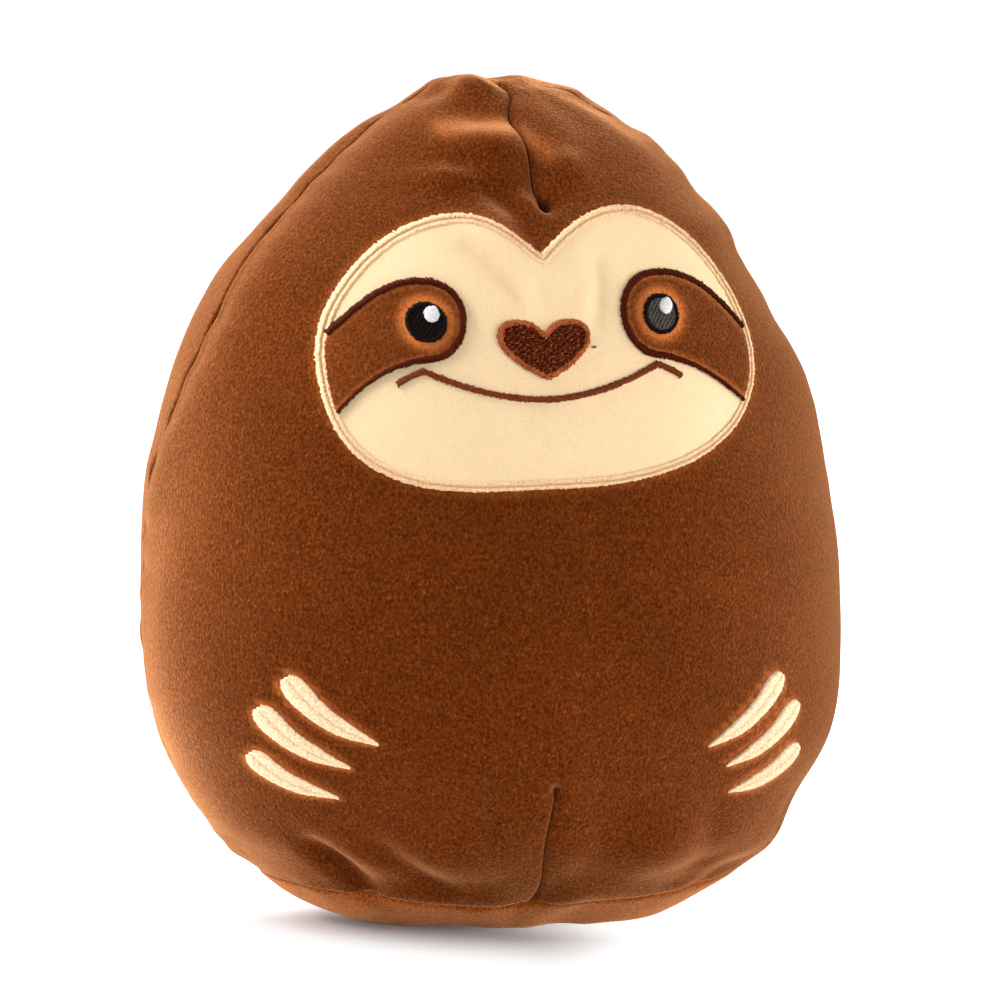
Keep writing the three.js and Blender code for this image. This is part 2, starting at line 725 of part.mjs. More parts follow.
function eye(side) {
  const centre = eyeCentre(side);
  const disc = frontPrism(circlePoints(centre.x, centre.y, EYE_RADIUS, EYE_STEPS));
  const ring = disc.subtract(highlightArea(side, HIGHLIGHT_RADIUS + CLEARANCE));
  return cutFrom(ring, eyeLevel, EMBROIDERY_HEIGHT);
}

function eyeHighlight(side) {
  return cutFrom(highlightArea(side, HIGHLIGHT_RADIUS), eyeLevel, EMBROIDERY_HEIGHT);
}

function noseEdging() {
  const outline = heartOutline();
  const ring = frontPrism(outline).subtract(frontPrism(inset(outline, NOSE_EDGING_WIDTH)));
  return cutFrom(ring, featureLevel, EMBROIDERY_HEIGHT);
}

function noseFill() {
  const outline = inset(heartOutline(), NOSE_EDGING_WIDTH + CLEARANCE);
  return cutFrom(frontPrism(outline), featureLevel, EMBROIDERY_HEIGHT);
}

function mouthStitch() {
  const corner = MOUTH_WIDTH / 2;
  const top = faceHeight - MOUTH_DROP + MOUTH_DEPTH;
  const bottom = faceHeight - MOUTH_DROP;
  const cheekEnd = [-corner - CHEEK_REACH, top - CHEEK_DROP];
  const cheekBend = [-corner - CHEEK_REACH / 2, top - CHEEK_DROP / 3];
  const smile = curvePoints([
    rounded([-corner, top], [-corner / 2, bottom], [0, bottom], MOUTH_FULLNESS),
    rounded([0, bottom], [corner / 2, bottom], [corner, top], MOUTH_FULLNESS),
  ], CURVE_STEPS);
  const cheek = curvePoints([
    rounded([-corner, top], cheekBend, cheekEnd, MOUTH_FULLNESS),
  ], SMALL_CURVE_STEPS);
  const strokes = [
    strokePoints(smile, MOUTH_LINE),
    strokePoints(cheek, MOUTH_LINE),
    flipped(strokePoints(cheek, MOUTH_LINE), 1),
  ];
  const prisms = strokes.map((outline) => frontPrism(outline));
  return cutFrom(joined(prisms), featureLevel, EMBROIDERY_HEIGHT);
}

function clawStitch(claw, side) {
  return cutFrom(frontPrism(clawOutline(claw, side)), faceLevel, CLAW_HEIGHT);
}

// Stiffening cloth inside the front panel, trimmed back from the cloth that is turned in
function backing(outline) {
  const reach = turnedInReach + CLEARANCE;
  const outerFace = -FABRIC_THICKNESS - CLEARANCE;
  const lining = layer(outerFace - BACKING_THICKNESS, outerFace, INNER);
  const sheet = frontPrism(outline).intersect(lining);
  return sheet.intersect(inFrontOfSeam(reach)).subtract(dartWalls(reach));
}

// Assembly

const group = new THREE.Group();
group.position.y = (FRONT_DEPTH - BACK_DEPTH) / 2;

function addPiece(name, solid, finish) {
  const mesh = solid.getMesh();
  const geometry = new THREE.BufferGeometry();
  geometry.setAttribute('position', new THREE.BufferAttribute(new Float32Array(mesh.vertProperties), 3));
  geometry.setIndex(new THREE.BufferAttribute(new Uint32Array(mesh.triVerts), 1));
  geometry.computeVertexNormals();
  const piece = new THREE.Mesh(geometry, new THREE.MeshStandardMaterial({ metalness: 0, ...finish }));
  piece.name = name;
  group.add(piece);
}

const panels = sewnPanels();
addPiece('fibre_filling', fibreFilling(), FLEECE);
addPiece('front_panel', panels.front, BROWN);
addPiece('back_panel_left', panels.backLeft, BROWN);
addPiece('back_panel_right', panels.backRight, BROWN);
addPiece('base_panel', panels.base, BROWN_BASE);
addPiece('face_backing', backing(faceBackingOutline(0)), BACKING);
addPiece('face_patch', facePatch(), CREAM);
addPiece('face_border', faceBorder(), SATIN);
addPiece('nose_fill', noseFill(), DARK_THREAD);
addPiece('nose_edging', noseEdging(), RUST_THREAD);
addPiece('mouth_stitch', mouthStitch(), RUST_THREAD);

[['left', -1], ['right', 1]].forEach(([word, side]) => {
  addPiece(`eye_patch_${word}`, eyePatch(side), BROWN);
  addPiece(`eye_edging_${word}`, eyeEdging(side), DARK_THREAD);
  addPiece(`eye_${word}`, eye(side), BLACK_THREAD);
  addPiece(`eye_highlight_${word}`, eyeHighlight(side), WHITE_THREAD);
  addPiece(`claw_backing_${word}`, backing(clawBackingOutline(side, 0)), BACKING);
  claws.forEach((claw, i) => {
    addPiece(`claw_${word}_${i + 1}`, clawStitch(claw, side), SATIN);
  });
});

export default group;
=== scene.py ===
# %% [markdown]
# # A plush sloth, sewn and embroidered in Blender
# The toy is a stuffed egg of brown plush. Four panels are sewn together, two darts round the
# front, a cream face patch is sewn on, and eyes, nose, mouth and claws are embroidered.
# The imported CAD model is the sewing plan: it says where every piece lies and how large it is.
# This lesson makes the visible cloth and thread over that plan, in the order a maker would.
# Every length is a real size, written in millimetres and turned into Blender's metres by mm.

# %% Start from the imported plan
import math

import bmesh
import bpy
import numpy as np
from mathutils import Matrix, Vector, bvhtree


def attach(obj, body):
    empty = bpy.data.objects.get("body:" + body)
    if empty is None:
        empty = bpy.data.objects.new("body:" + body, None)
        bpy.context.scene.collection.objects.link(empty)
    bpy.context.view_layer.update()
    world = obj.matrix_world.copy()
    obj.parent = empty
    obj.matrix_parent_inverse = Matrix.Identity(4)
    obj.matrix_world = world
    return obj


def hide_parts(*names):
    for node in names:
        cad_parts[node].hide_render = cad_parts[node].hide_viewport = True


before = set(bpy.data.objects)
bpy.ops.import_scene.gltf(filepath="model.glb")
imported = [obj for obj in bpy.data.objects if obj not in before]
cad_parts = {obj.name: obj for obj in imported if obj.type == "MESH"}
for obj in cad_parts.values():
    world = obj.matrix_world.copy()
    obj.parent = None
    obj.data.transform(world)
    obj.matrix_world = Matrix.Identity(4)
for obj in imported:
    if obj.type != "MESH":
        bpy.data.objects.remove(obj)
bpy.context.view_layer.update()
mm = 0.001

# %% [markdown]
# ## The camera
# The photograph was taken with a long lens, a little from the toy's right-hand side and a
# little from above. A long lens keeps the egg from bulging towards the viewer, so the camera
# stands well back. The aim point is set off slightly, because the toy isn't quite centred.

# %% Camera
LOOK_AT = Vector((0, 2, 100)) * mm
CAMERA_TURN = math.radians(-13.5)
CAMERA_RISE = math.radians(5)
CAMERA_DISTANCE = 1400 * mm
PICTURE_WIDTH = 238 * mm
AIM_ASIDE = 2.14 * mm
AIM_DOWN = 1.71 * mm
SENSOR = 36


def linked(name, data):
    """An object that holds some data and is part of the scene."""
    made = bpy.data.objects.new(name, data)
    bpy.context.scene.collection.objects.link(made)
    return made


def make_camera():
    data = bpy.data.cameras.new("camera")
    data.sensor_width = SENSOR
    data.lens = SENSOR * CAMERA_DISTANCE / PICTURE_WIDTH
    camera = linked("camera", data)
    turn, rise = CAMERA_TURN, CAMERA_RISE
    back = Vector((math.sin(turn) * math.cos(rise), -math.cos(turn) * math.cos(rise), math.sin(rise)))
    camera.rotation_euler = back.to_track_quat("Z", "Y").to_euler()
    aside = camera.rotation_euler.to_matrix() @ Vector((AIM_ASIDE, -AIM_DOWN, 0))
    camera.location = LOOK_AT + aside + back * CAMERA_DISTANCE
    bpy.context.scene.camera = camera
    print("camera: lens", round(data.lens, 1), "mm")


make_camera()

# %% [markdown]
# ## The egg that the panels are cut for
# Stuffed toys of this kind are bodies of one profile: half a width for each height, with the
# depth in proportion. The same few numbers as in the sewing plan describe it here, so cloth and
# plan agree. A smooth curve through a few measured places does the rest: the course of the side
# seams, the wander of the darts and how the filling has settled to one side.

# %% Driving sizes of the body
HEIGHT = 200 * mm
WIDTH = 169 * mm
FRONT_DEPTH = 64 * mm
BACK_DEPTH = 60 * mm
WIDEST_HEIGHT = 82 * mm
SOLE_WIDTH = 78 * mm
CROWN_ROUNDNESS = 1.8
BELLY_ROUNDNESS = 2.3
BELLY_DROP = 2.8
CENTRE_Y = (FRONT_DEPTH - BACK_DEPTH) / 2
BASE_SEAM_HEIGHT = 7 * mm
BASE_SEAM_RISE = 4 * mm
BASE_SEAM_BLEND = 34 * mm
CROWN_LEAN = -3 * mm
CROWN_LEAN_FROM = 176 * mm
POLE_CALM = 9 * mm
POLE_DIP = 2.2 * mm
POLE_DIP_REACH = 4.5 * mm


def through(points):
    """A smooth curve through (place, value) points in millimetres, as a function of place in metres."""
    places, values = np.array(points, float).T * mm
    slopes = np.gradient(values, places)

    def value_at(place):
        place = np.clip(place, places[0], places[-1])
        i = np.clip(np.searchsorted(places, place) - 1, 0, len(places) - 2)
        span = places[i + 1] - places[i]
        t = (place - places[i]) / span
        ends = (2 * t**3 - 3 * t**2 + 1) * values[i] + (3 * t**2 - 2 * t**3) * values[i + 1]
        return ends + span * ((t**3 - 2 * t**2 + t) * slopes[i] + (t**3 - t**2) * slopes[i + 1])

    return value_at


side_seam = through([(0, 0), (11, 0), (55, 6), (85, 4), (103, 0), (127, -7.5), (149, -10.5),
                     (163, -8), (178, -5), (190, -2.5), (200, 0)])
dart_wander = through([(0, -2.6), (7, -2.4), (15, -1.8), (25, -1), (37, 0.3), (60, 0), (150, 0.5),
                       (160, 2.4), (170, 4.4), (173, 2), (178, 0.6), (186, -0.6), (191, -1.1),
                       (196, 0.4), (199, 1.2), (200, 1.2)])
right_seam_forward = through([(0, 0), (170, 0), (180, 1), (188, 5), (194, 7), (198, 5), (200, 0)])
left_sag = through([(0, 2.4), (5, 2.1), (12, 3.1), (20, 2), (30, 2.1), (40, 1.4), (52, 0.3), (77, 0.1),
                    (90, 0.4), (100, -0.6), (122, -1.2), (146, -1.9), (155, -2.1), (163, -0.5),
                    (172, 1.2), (182, 1.9), (190, 1.2), (196, 0.1), (198.7, -1.7), (200, 0)])
right_sag = through([(0, 3), (5, 2.1), (10, 3.3), (18, 2.1), (27, 0.8), (43, 1.2), (62, 0.7), (86, 0),
                     (112, -0.6), (127, 0), (146, -1.3), (158, -1), (164, 0.4), (170, -0.2),
                     (175, 0.2), (182, 1.7), (189, 0.3), (194, 0.5), (196.3, 1.7), (198.7, -1),
                     (200, 0)])


def half_width(z):
    up = np.clip((z - WIDEST_HEIGHT) / (HEIGHT - WIDEST_HEIGHT), 0, 1)
    down = np.clip((WIDEST_HEIGHT - z) / WIDEST_HEIGHT, 0, 1)
    narrowing = 1 - (SOLE_WIDTH / WIDTH) ** BELLY_ROUNDNESS
    crown = (1 - up**CROWN_ROUNDNESS) ** (1 / CROWN_ROUNDNESS)
    belly = (1 - narrowing * down**BELLY_DROP) ** (1 / BELLY_ROUNDNESS)
    return WIDTH / 2 * np.where(z >= WIDEST_HEIGHT, crown, belly)


def smoothstep(value, low, high):
    t = np.clip((value - low) / (high - low), 0, 1)
    return t * t * (3 - 2 * t)


def bell(distance, reach):
    """One on the spot, dying out over a reach."""
    return np.exp(-((distance / reach) ** 2))


print("egg: half width at mid height", round(float(half_width(HEIGHT / 2)) / mm, 1), "mm")

# %% [markdown]
# ## Columns and rows that follow the seams
# A sphere made by one operator has columns and rows, and each can be led along a seam: a quarter
# of the columns reaches from the front centre to a side seam, and one row is the base seam.
# Rows and columns lie closer where the cloth is sewn, because a seam's valley is only a few
# millimetres wide. The grid of points is worked on as numbers, row by column, and set on the
# sphere's vertices when its form is final.

# %% Where each column and row lies
COLUMN_CROWDING = 0.19
ROW_CROWDING = 0.6
SOLE_SHARE = 0.05
SEAM_SHARE = 0.1
SOLE_EDGE_CURVE = 1.5
DART_NEARBY = 0.5
LEAST_WIDTH = 0.01 * mm
MOST_SEAM_SHIFT = 0.7
MOST_DART_SHIFT = 0.35


def away_from(points, places):
    """How far points are from a place, or each from its own place."""
    return np.linalg.norm(points - places, axis=-1)


def walk_along(line):
    """How far along a line each of its points lies."""
    return np.concatenate([[0], np.cumsum(away_from(line[1:], line[:-1]))])


def seam_row_of(points):
    return round(SEAM_SHARE * (len(points) - 1))


def seam_columns(points):
    """The columns of the two side seams and the back seam."""
    columns = points.shape[1]
    return columns // 4, -columns // 4, columns // 2


def row_height(climb):
    """Height of a row before the base seam's rise: climb is 0 at the sole's middle, 1 at the crown."""
    fine = np.linspace(0, 1, 4000)
    z = BASE_SEAM_HEIGHT + (HEIGHT - BASE_SEAM_HEIGHT) * (1 - (1 - fine) ** 2)
    walk = walk_along(np.stack([half_width(z), z], axis=1))
    t = np.clip((climb - SEAM_SHARE) / (1 - SEAM_SHARE), 0, 1)
    even = t - ROW_CROWDING * np.sin(2 * math.pi * t) / (2 * math.pi)
    edge = np.clip((climb - SOLE_SHARE) / (SEAM_SHARE - SOLE_SHARE), 0, 1)
    low = BASE_SEAM_HEIGHT * (1 - (1 - edge) ** SOLE_EDGE_CURVE)
    return np.where(climb < SEAM_SHARE, low, np.interp(even * walk[-1], walk, z))


def egg_grid(columns, rows):
    """The settled egg before it is sewn in: points by row and column, front centre first."""
    climb = np.linspace(0, 1, rows + 1)[:, None]
    turn = (np.arange(columns) / columns * 2 * math.pi)[None, :]
    turn = np.where(turn > math.pi, turn - 2 * math.pi, turn)
    angle = turn - COLUMN_CROWDING * np.sin(4 * turn)
    height = row_height(climb)
    rise = np.where(
        height < BASE_SEAM_HEIGHT,
        height / BASE_SEAM_HEIGHT,
        1 - smoothstep(height, BASE_SEAM_HEIGHT, BASE_SEAM_HEIGHT + BASE_SEAM_BLEND),
    )
    z = height + BASE_SEAM_RISE * np.sin(angle) ** 2 * rise
    half = half_width(z)
    safe = np.maximum(half, LEAST_WIDTH)
    seam = side_seam(z) - right_seam_forward(z) * (turn > 0)
    depth = np.where(seam < 0, FRONT_DEPTH, BACK_DEPTH) / (WIDTH / 2)
    seam_turn = np.arcsin(np.clip(seam / (safe * depth), -MOST_SEAM_SHIFT, MOST_SEAM_SHIFT))
    angle = angle + np.sign(np.sin(angle)) * seam_turn * np.sin(angle) ** 2
    dart_turn = np.arcsin(np.clip(dart_wander(z) / safe, -MOST_DART_SHIFT, MOST_DART_SHIFT))
    angle = angle + dart_turn * bell(angle, DART_NEARBY)
    reach = np.clip(climb / SOLE_SHARE, 0, 1) * half
    depth = np.where(np.cos(angle) > 0, FRONT_DEPTH, BACK_DEPTH) / (WIDTH / 2)
    aside = np.sin(angle)
    x = reach * aside + (left_sag(z) * (1 - aside) + right_sag(z) * (1 + aside)) / 2
    lean = CROWN_LEAN * np.clip((z - CROWN_LEAN_FROM) / (HEIGHT - CROWN_LEAN_FROM), 0, 1) ** 2
    points = np.stack([x, CENTRE_Y + lean - reach * depth * np.cos(angle), z + 0 * x], axis=-1)
    points[0] = points[0].mean(axis=0)
    points[-1] = points[-1].mean(axis=0)
    points[..., 2] -= POLE_DIP * bell(away_from(points, points[-1, 0]), POLE_DIP_REACH)
    return points


def unit(vectors):
    return vectors / np.maximum(np.linalg.norm(vectors, axis=-1, keepdims=True), 1e-12)


def grid_normals(points):
    across = np.roll(points, -1, axis=1) - np.roll(points, 1, axis=1)
    normals = unit(np.cross(across, np.gradient(points, axis=0)))
    off_pole = smoothstep(away_from(points, points[-1, 0]), 1 * mm, POLE_CALM)[..., None]
    normals = np.array((0, 0, 1)) + (normals - (0, 0, 1)) * off_pole
    normals[0] = (0, 0, -1)
    return unit(normals)


trial = egg_grid(40, 30)
print("grid: widest", round(float(np.ptp(trial[..., 0])) / mm, 1), "mm, rows climb to",
      round(float(trial[..., 2].max()) / mm, 1), "mm")

# %% [markdown]
# ## Seams, darts and folds
# A seam draws the cloth in. Close to the thread the cloth turns in sharply, which gives the thin
# dark line, and further out it only dips, which gives the soft quilted look. A dart is a seam that
# ends in the middle of the cloth, so it ends in a small deep pucker. Folds are long dips with a
# raised lip beside them. Each is a function of the distance to its line, added up over the grid.

# %% Seam and dart profiles
CREASE_WIDTH = 0.4 * mm
DIP_WIDTH = 4.5 * mm
LIP_HEIGHT = 0.25 * mm
LIP_DISTANCE = 1.6 * mm
# crease depth, dip depth, crease width and dip width of each kind of seam
LONG_SEAM = (0.9 * mm, 0.6 * mm, CREASE_WIDTH, DIP_WIDTH)
BASE_SEAM = (0.6 * mm, 0, CREASE_WIDTH, DIP_WIDTH)
CROWN_DART = (1.5 * mm, 1.1 * mm, 0.5 * mm, 4 * mm)
BASE_DART = (1.1 * mm, 0.6 * mm, 0.45 * mm, 3.5 * mm)
CROWN_DART_TIP = 170 * mm
BASE_DART_TIP = 36 * mm
CROWN_DART_FADE = 1.5 * mm
BASE_DART_FADE = 1 * mm
# height of each dart's tip, depth and reach of its pucker
PUCKERS = ((CROWN_DART_TIP, 3.6 * mm, 1.7 * mm), (BASE_DART_TIP, 2.2 * mm, 1.4 * mm))


def sewn_in(distance, crease, dip, width, spread):
    """How deep the cloth lies at a distance from a seam: a sharp crease in a wide dip."""
    return crease * np.exp(-distance / width) + dip * bell(distance, spread)


def near_pole(points):
    """Zero at the crown, where all the seams meet, and one a little way off."""
    return smoothstep(away_from(points, points[-1, 0]), 0, POLE_CALM)


def seam_hollows(points):
    """How deep every point lies for the side seams, the back seam and the base seam."""
    columns, seam_row = points.shape[1], seam_row_of(points)
    row = np.arange(len(points))[:, None]
    above = smoothstep(row, seam_row - 2, seam_row + 1) * near_pole(points)
    column = np.arange(columns)[None, :]
    front = (column < columns // 4) | (column > 3 * columns // 4)
    depth = np.zeros(points.shape[:2])
    for at in seam_columns(points):
        distance = away_from(points, points[:, [at]])
        depth = np.maximum(depth, above * sewn_in(distance, *LONG_SEAM))
        depth -= above * front * LIP_HEIGHT * bell(distance - LIP_DISTANCE, LIP_DISTANCE)
    return np.maximum(depth, sewn_in(away_from(points, points[[seam_row]]), *BASE_SEAM))


def on_front_line(points, z):
    """The point of the front's middle line that is nearest to a height."""
    return points[np.argmin(np.abs(points[:, 0, 2] - z)), 0]


def dart_hollows(points):
    z = points[:, 0, 2][:, None]
    row = np.arange(len(points))[:, None]
    front = (points[..., 1] < CENTRE_Y) & (row >= seam_row_of(points))
    distance = away_from(points, points[:, [0]])
    crown = smoothstep(z, CROWN_DART_TIP - CROWN_DART_FADE, CROWN_DART_TIP + CROWN_DART_FADE)
    base = 1 - smoothstep(z, BASE_DART_TIP - BASE_DART_FADE, BASE_DART_TIP + BASE_DART_FADE)
    depth = crown * near_pole(points) * sewn_in(distance, *CROWN_DART)
    depth += base * sewn_in(distance, *BASE_DART)
    for tip, deep, reach in PUCKERS:
        depth += deep * bell(away_from(points, on_front_line(points, tip)), reach)
    return depth * front


print("profiles: a crease", round(float(sewn_in(0.0, *LONG_SEAM)) / mm, 1), "mm deep")

# %% [markdown]
# ## Folds and swellings of the settled filling
# The filling has slumped a little towards the viewer's left foot, where two folds run down to the
# base seam, and the crown dart has drawn the cloth into a hollow with a ridge above it. Each fold
# is a line on the front, given by where it starts, bends and ends. Each swelling is a soft round
# rise or hollow. They are measured on the toy in millimetres: sideways, and up from the floor.

# %% Folds and swellings
FOLD_FADE = 0.7
FOLD_STEEPNESS = 1.6
FOLD_LIP_AT = 1.7
FOLDS = [
    # line as (x, z) points, depth, width, lip height on the upper side
    ([(-55, 24), (-49.5, 19), (-43.5, 14), (-34, 7)], 4.2, 4.0, 0),
    ([(-42, 25), (-36, 20.5), (-29, 15.5), (-18, 9)], 2.3, 4.0, 0),
    ([(-17, 180), (-9, 174.5), (-3, 168), (-0.5, 160)], 2.2, 4.2, 0.2),
    ([(-19, 162), (-12, 157), (-6, 151), (-1, 143)], 2.4, 3.6, 0.6),
    ([(14, 160), (14.6, 150), (12, 140)], 1.2, 2.8, 0.5),
    ([(-20.5, 153), (-17.5, 146.5), (-15, 137)], 0.5, 2.2, 0.2),
    ([(38, 9), (48, 13), (58, 16)], 1.1, 3, 0.5),
    ([(60, 17), (68, 30)], 0.8, 3, 0.4),
]
SWELLINGS = [
    # centre (x, z), spread (sideways, up), height; below zero is a hollow
    (-3, 174, 9, 6, -1.5),
    (-16, 170.5, 7, 4.5, -1.3),
    (-6, 190.5, 8, 2.6, -1.4),
    (-8, 197, 7, 2, 1.3),
    (-9, 183.6, 11, 3.9, 3.9),
    (-15, 176.6, 9, 2.0, 1.8),
    (8, 171.5, 5, 4, -0.5),
    (9.5, 178.4, 5, 3.4, 2.3),
    (-0.5, 171, 2, 2.4, 1.0),
    (15, 22, 6, 8, -1),
    (29, 18, 11, 8, 1.9),
    (42, 23, 5, 9, -1.1),
    (0, 112, 60, 18, -0.5),
]


def front_point(x, z):
    """The point of the front, before sewing, that lies at x and z in millimetres."""
    x, z = x * mm, z * mm
    half = float(half_width(z))
    share = min(abs(x) / half, 0.999)
    return np.array([x, CENTRE_Y - half * FRONT_DEPTH / (WIDTH / 2) * math.sqrt(1 - share**2), z])


def nearest_on_line(points, line):
    """Distance to a line of points, the share along it, and which side: above is positive."""
    best = np.full(points.shape[:2], np.inf)
    share = np.zeros(points.shape[:2])
    side = np.ones(points.shape[:2])
    for i, (start, end) in enumerate(zip(line, line[1:])):
        along = end - start
        t = np.clip((points - start) @ along / (along @ along), 0, 1)
        away = points - start - t[..., None] * along
        distance = away_from(away, 0)
        closer = distance < best
        best = np.where(closer, distance, best)
        share = np.where(closer, (i + t) / (len(line) - 1), share)
        side = np.where(closer, np.sign(away[..., 2] + 1e-9), side)
    return best, share, side


def folds_and_swellings(points):
    """How far the front stands out for its folds and swellings. A fold is steeper on its lower side."""
    rise = np.zeros(points.shape[:2])
    for corners, depth, width, lip in FOLDS:
        line = [front_point(x, z) for x, z in corners]
        distance, share, side = nearest_on_line(points, line)
        fade = np.sin(math.pi * np.clip(share, 0.02, 0.98)) ** FOLD_FADE
        signed = distance * side / (width * mm)
        valley = -depth * np.exp(-np.where(side < 0, FOLD_STEEPNESS, 1) * signed**2)
        rise += fade * (valley + lip * bell(signed - FOLD_LIP_AT, 1)) * mm
    x, z = points[..., 0] / mm, points[..., 2] / mm
    for at_x, at_z, aside, up, height in SWELLINGS:
        rise += height * mm * bell(x - at_x, aside) * bell(z - at_z, up)
    return rise * (points[..., 1] < CENTRE_Y)


def sewn_egg(columns, rows):
    """The egg with its seams, darts, folds and swellings, and how deep it lies for them."""
    points = egg_grid(columns, rows)
    return points, seam_hollows(points) + dart_hollows(points) - folds_and_swellings(points)


print("folds:", len(FOLDS), "and swellings:", len(SWELLINGS))

# %% [markdown]
# ## Ripples along the seams
# The panels are a little longer than the thread that holds them, so their edges ripple: small
# waves that run away from the seam and die out. A few sines of odd lengths with fixed shifts give
# waves that never repeat in step, and the same waves every time the lesson is run.

# %% Seam ripples
RIPPLES = np.random.default_rng(7)
# height, reach from the seam, shortest and longest wave
LONG_RIPPLES = (0.4 * mm, 7 * mm, 9, 22)
BASE_RIPPLES = (0.15 * mm, 5 * mm, 8, 20)
RIPPLES_FADE_IN = 12


def waves(along, shortest, longest, count=6):
    """A sum of sines along a seam, about one high."""
    lengths = RIPPLES.uniform(shortest, longest, count) * mm
    shifts = RIPPLES.uniform(0, 2 * math.pi, count)
    strengths = RIPPLES.uniform(0.5, 1, count)
    total = sum(s * np.sin(2 * math.pi * along / w + p) for s, w, p in zip(strengths, lengths, shifts))
    return total / math.sqrt(count / 2)


def dying_out(distance, height, reach):
    """A ripple's height: nothing in the seam, then full, and dying out over its reach."""
    return height * np.exp(-distance / reach) * (1 - np.exp(-distance / mm))


def seam_ripples(points):
    """How far the cloth stands out beside its seams. Each side of a seam has waves of its own."""
    columns, seam_row = points.shape[1], seam_row_of(points)
    above = smoothstep(np.arange(len(points))[:, None], seam_row, seam_row + RIPPLES_FADE_IN)
    ripple = np.zeros(points.shape[:2])
    for column in seam_columns(points):
        seam = points[:, column]
        one, other = (waves(walk_along(seam), *LONG_RIPPLES[2:])[:, None] for _ in range(2))
        offset = (np.arange(columns)[None, :] - column) % columns
        ripple += np.where(offset < columns // 2, one, other) * dying_out(
            away_from(points, seam[:, None]), *LONG_RIPPLES[:2])
    ring = points[seam_row]
    base = waves(walk_along(ring), *BASE_RIPPLES[2:]) * dying_out(away_from(points, ring), *BASE_RIPPLES[:2])
    return above * near_pole(points) * ripple + base


print("ripples: seeded")

# %% [markdown]
# ## Stuffing the body
# Loose filling goes in as tufts, so it presses a little harder in some places than in others. The
# bumps that this makes are drawn with a seed on a coarse copy of the sewn egg. A cloth simulation
# then holds the copy at its seams and sole and blows it up from inside, and the bumps settle between
# the seams. How far each point moved is kept as a grid, capped, and later added to the fine cloth.
# The steady outward part is taken off again, because the measured egg already has it. The cloth
# isn't let out for this: spare cloth would buckle another way in each run.

# %% Simulate the stuffing
COARSE_COLUMNS, COARSE_ROWS = 120, 80
FRAMES = 20
PRESSURE = 4
SOLVER_STEPS = 6
CLOTH_MASS = 0.2
CLOTH_STIFFNESS = 0.3
STEADY_WIDTH = 30
MOST_MOVE = 0.8 * mm
TUFTS = np.random.default_rng(5)
TUFT_BUMPS = 0.7 * mm
TUFT_WIDTH = 14
SEAMS_HOLD = 10 * mm


def sphere_of(points, name):
    """One sphere operator's mesh set to a grid of points, with each vertex's row and column."""
    rows, columns = points.shape[0] - 1, points.shape[1]
    ball = bmesh.new()
    bmesh.ops.create_uvsphere(ball, u_segments=columns, v_segments=rows, radius=1)
    unit = np.array([v.co for v in ball.verts])
    row = np.rint((1 - np.arccos(np.clip(unit[:, 2], -1, 1)) / math.pi) * rows).astype(int)
    column = np.rint(np.arctan2(unit[:, 0], -unit[:, 1]) / (2 * math.pi) * columns).astype(int) % columns
    for vert, r, c in zip(ball.verts, row, column):
        vert.co = points[r, c]
    bmesh.ops.recalc_face_normals(ball, faces=ball.faces)
    print(name, len(ball.verts), "points,", len(ball.faces), "faces")
    return ball, row, column


def mesh_object(name, shape):
    mesh = bpy.data.meshes.new(name)
    shape.to_mesh(mesh)
    shape.free()
    mesh.shade_smooth()
    return linked(name, mesh)


def stuff(points):
    """How far each point of a coarse sewn grid moves when it is filled."""
    shape, row, column = sphere_of(points, "coarse cloth:")
    cloth_piece = mesh_object("coarse_cloth", shape)
    held = np.isin(column, np.array(seam_columns(points)) % points.shape[1]) | (row <= seam_row_of(points))
    group = cloth_piece.vertex_groups.new(name="held")
    group.add([int(i) for i in np.nonzero(held)[0]], 1, "REPLACE")
    cloth = cloth_piece.modifiers.new("cloth", "CLOTH")
    settings = cloth.settings
    settings.quality = SOLVER_STEPS
    settings.mass = CLOTH_MASS
    settings.vertex_group_mass = "held"
    settings.use_pressure = True
    settings.uniform_pressure_force = PRESSURE
    settings.bending_stiffness = CLOTH_STIFFNESS
    settings.effector_weights.gravity = 0
    cloth.point_cache.frame_end = FRAMES
    for step in range(1, FRAMES + 1):
        bpy.context.scene.frame_set(step)
    blown = cloth_piece.evaluated_get(bpy.context.evaluated_depsgraph_get())
    moved = np.zeros(points.shape)
    moved[row, column] = np.array([v.co for v in blown.data.vertices])
    for pole in (0, len(points) - 1):
        moved[pole] = moved[pole, column[row == pole][0]]
    bpy.context.scene.frame_set(1)
    bpy.data.objects.remove(cloth_piece)
    return moved - points


def softened(grid, times):
    """A grid blurred by its neighbours, round the columns and along the rows."""
    for _ in range(times):
        grid = (np.roll(grid, 1, axis=1) + 2 * grid + np.roll(grid, -1, axis=1)) / 4
        padded = np.concatenate([grid[:1], grid, grid[-1:]])
        grid = (padded[:-2] + 2 * padded[1:-1] + padded[2:]) / 4
    return grid


def finer(grid, columns, rows):
    """A coarse grid read at finer rows and columns."""
    old_rows, old_columns = grid.shape[0] - 1, grid.shape[1]
    r = np.linspace(0, old_rows, rows + 1)
    c = np.arange(columns) / columns * old_columns
    r0, c0 = np.minimum(r.astype(int), old_rows - 1), c.astype(int)
    tr, tc = (r - r0)[:, None, None], (c - c0)[None, :, None]
    c1 = (c0 + 1) % old_columns
    low = grid[r0][:, c0] * (1 - tc) + grid[r0][:, c1] * tc
    high = grid[r0 + 1][:, c0] * (1 - tc) + grid[r0 + 1][:, c1] * tc
    return softened(low * (1 - tr) + high * tr, 2)


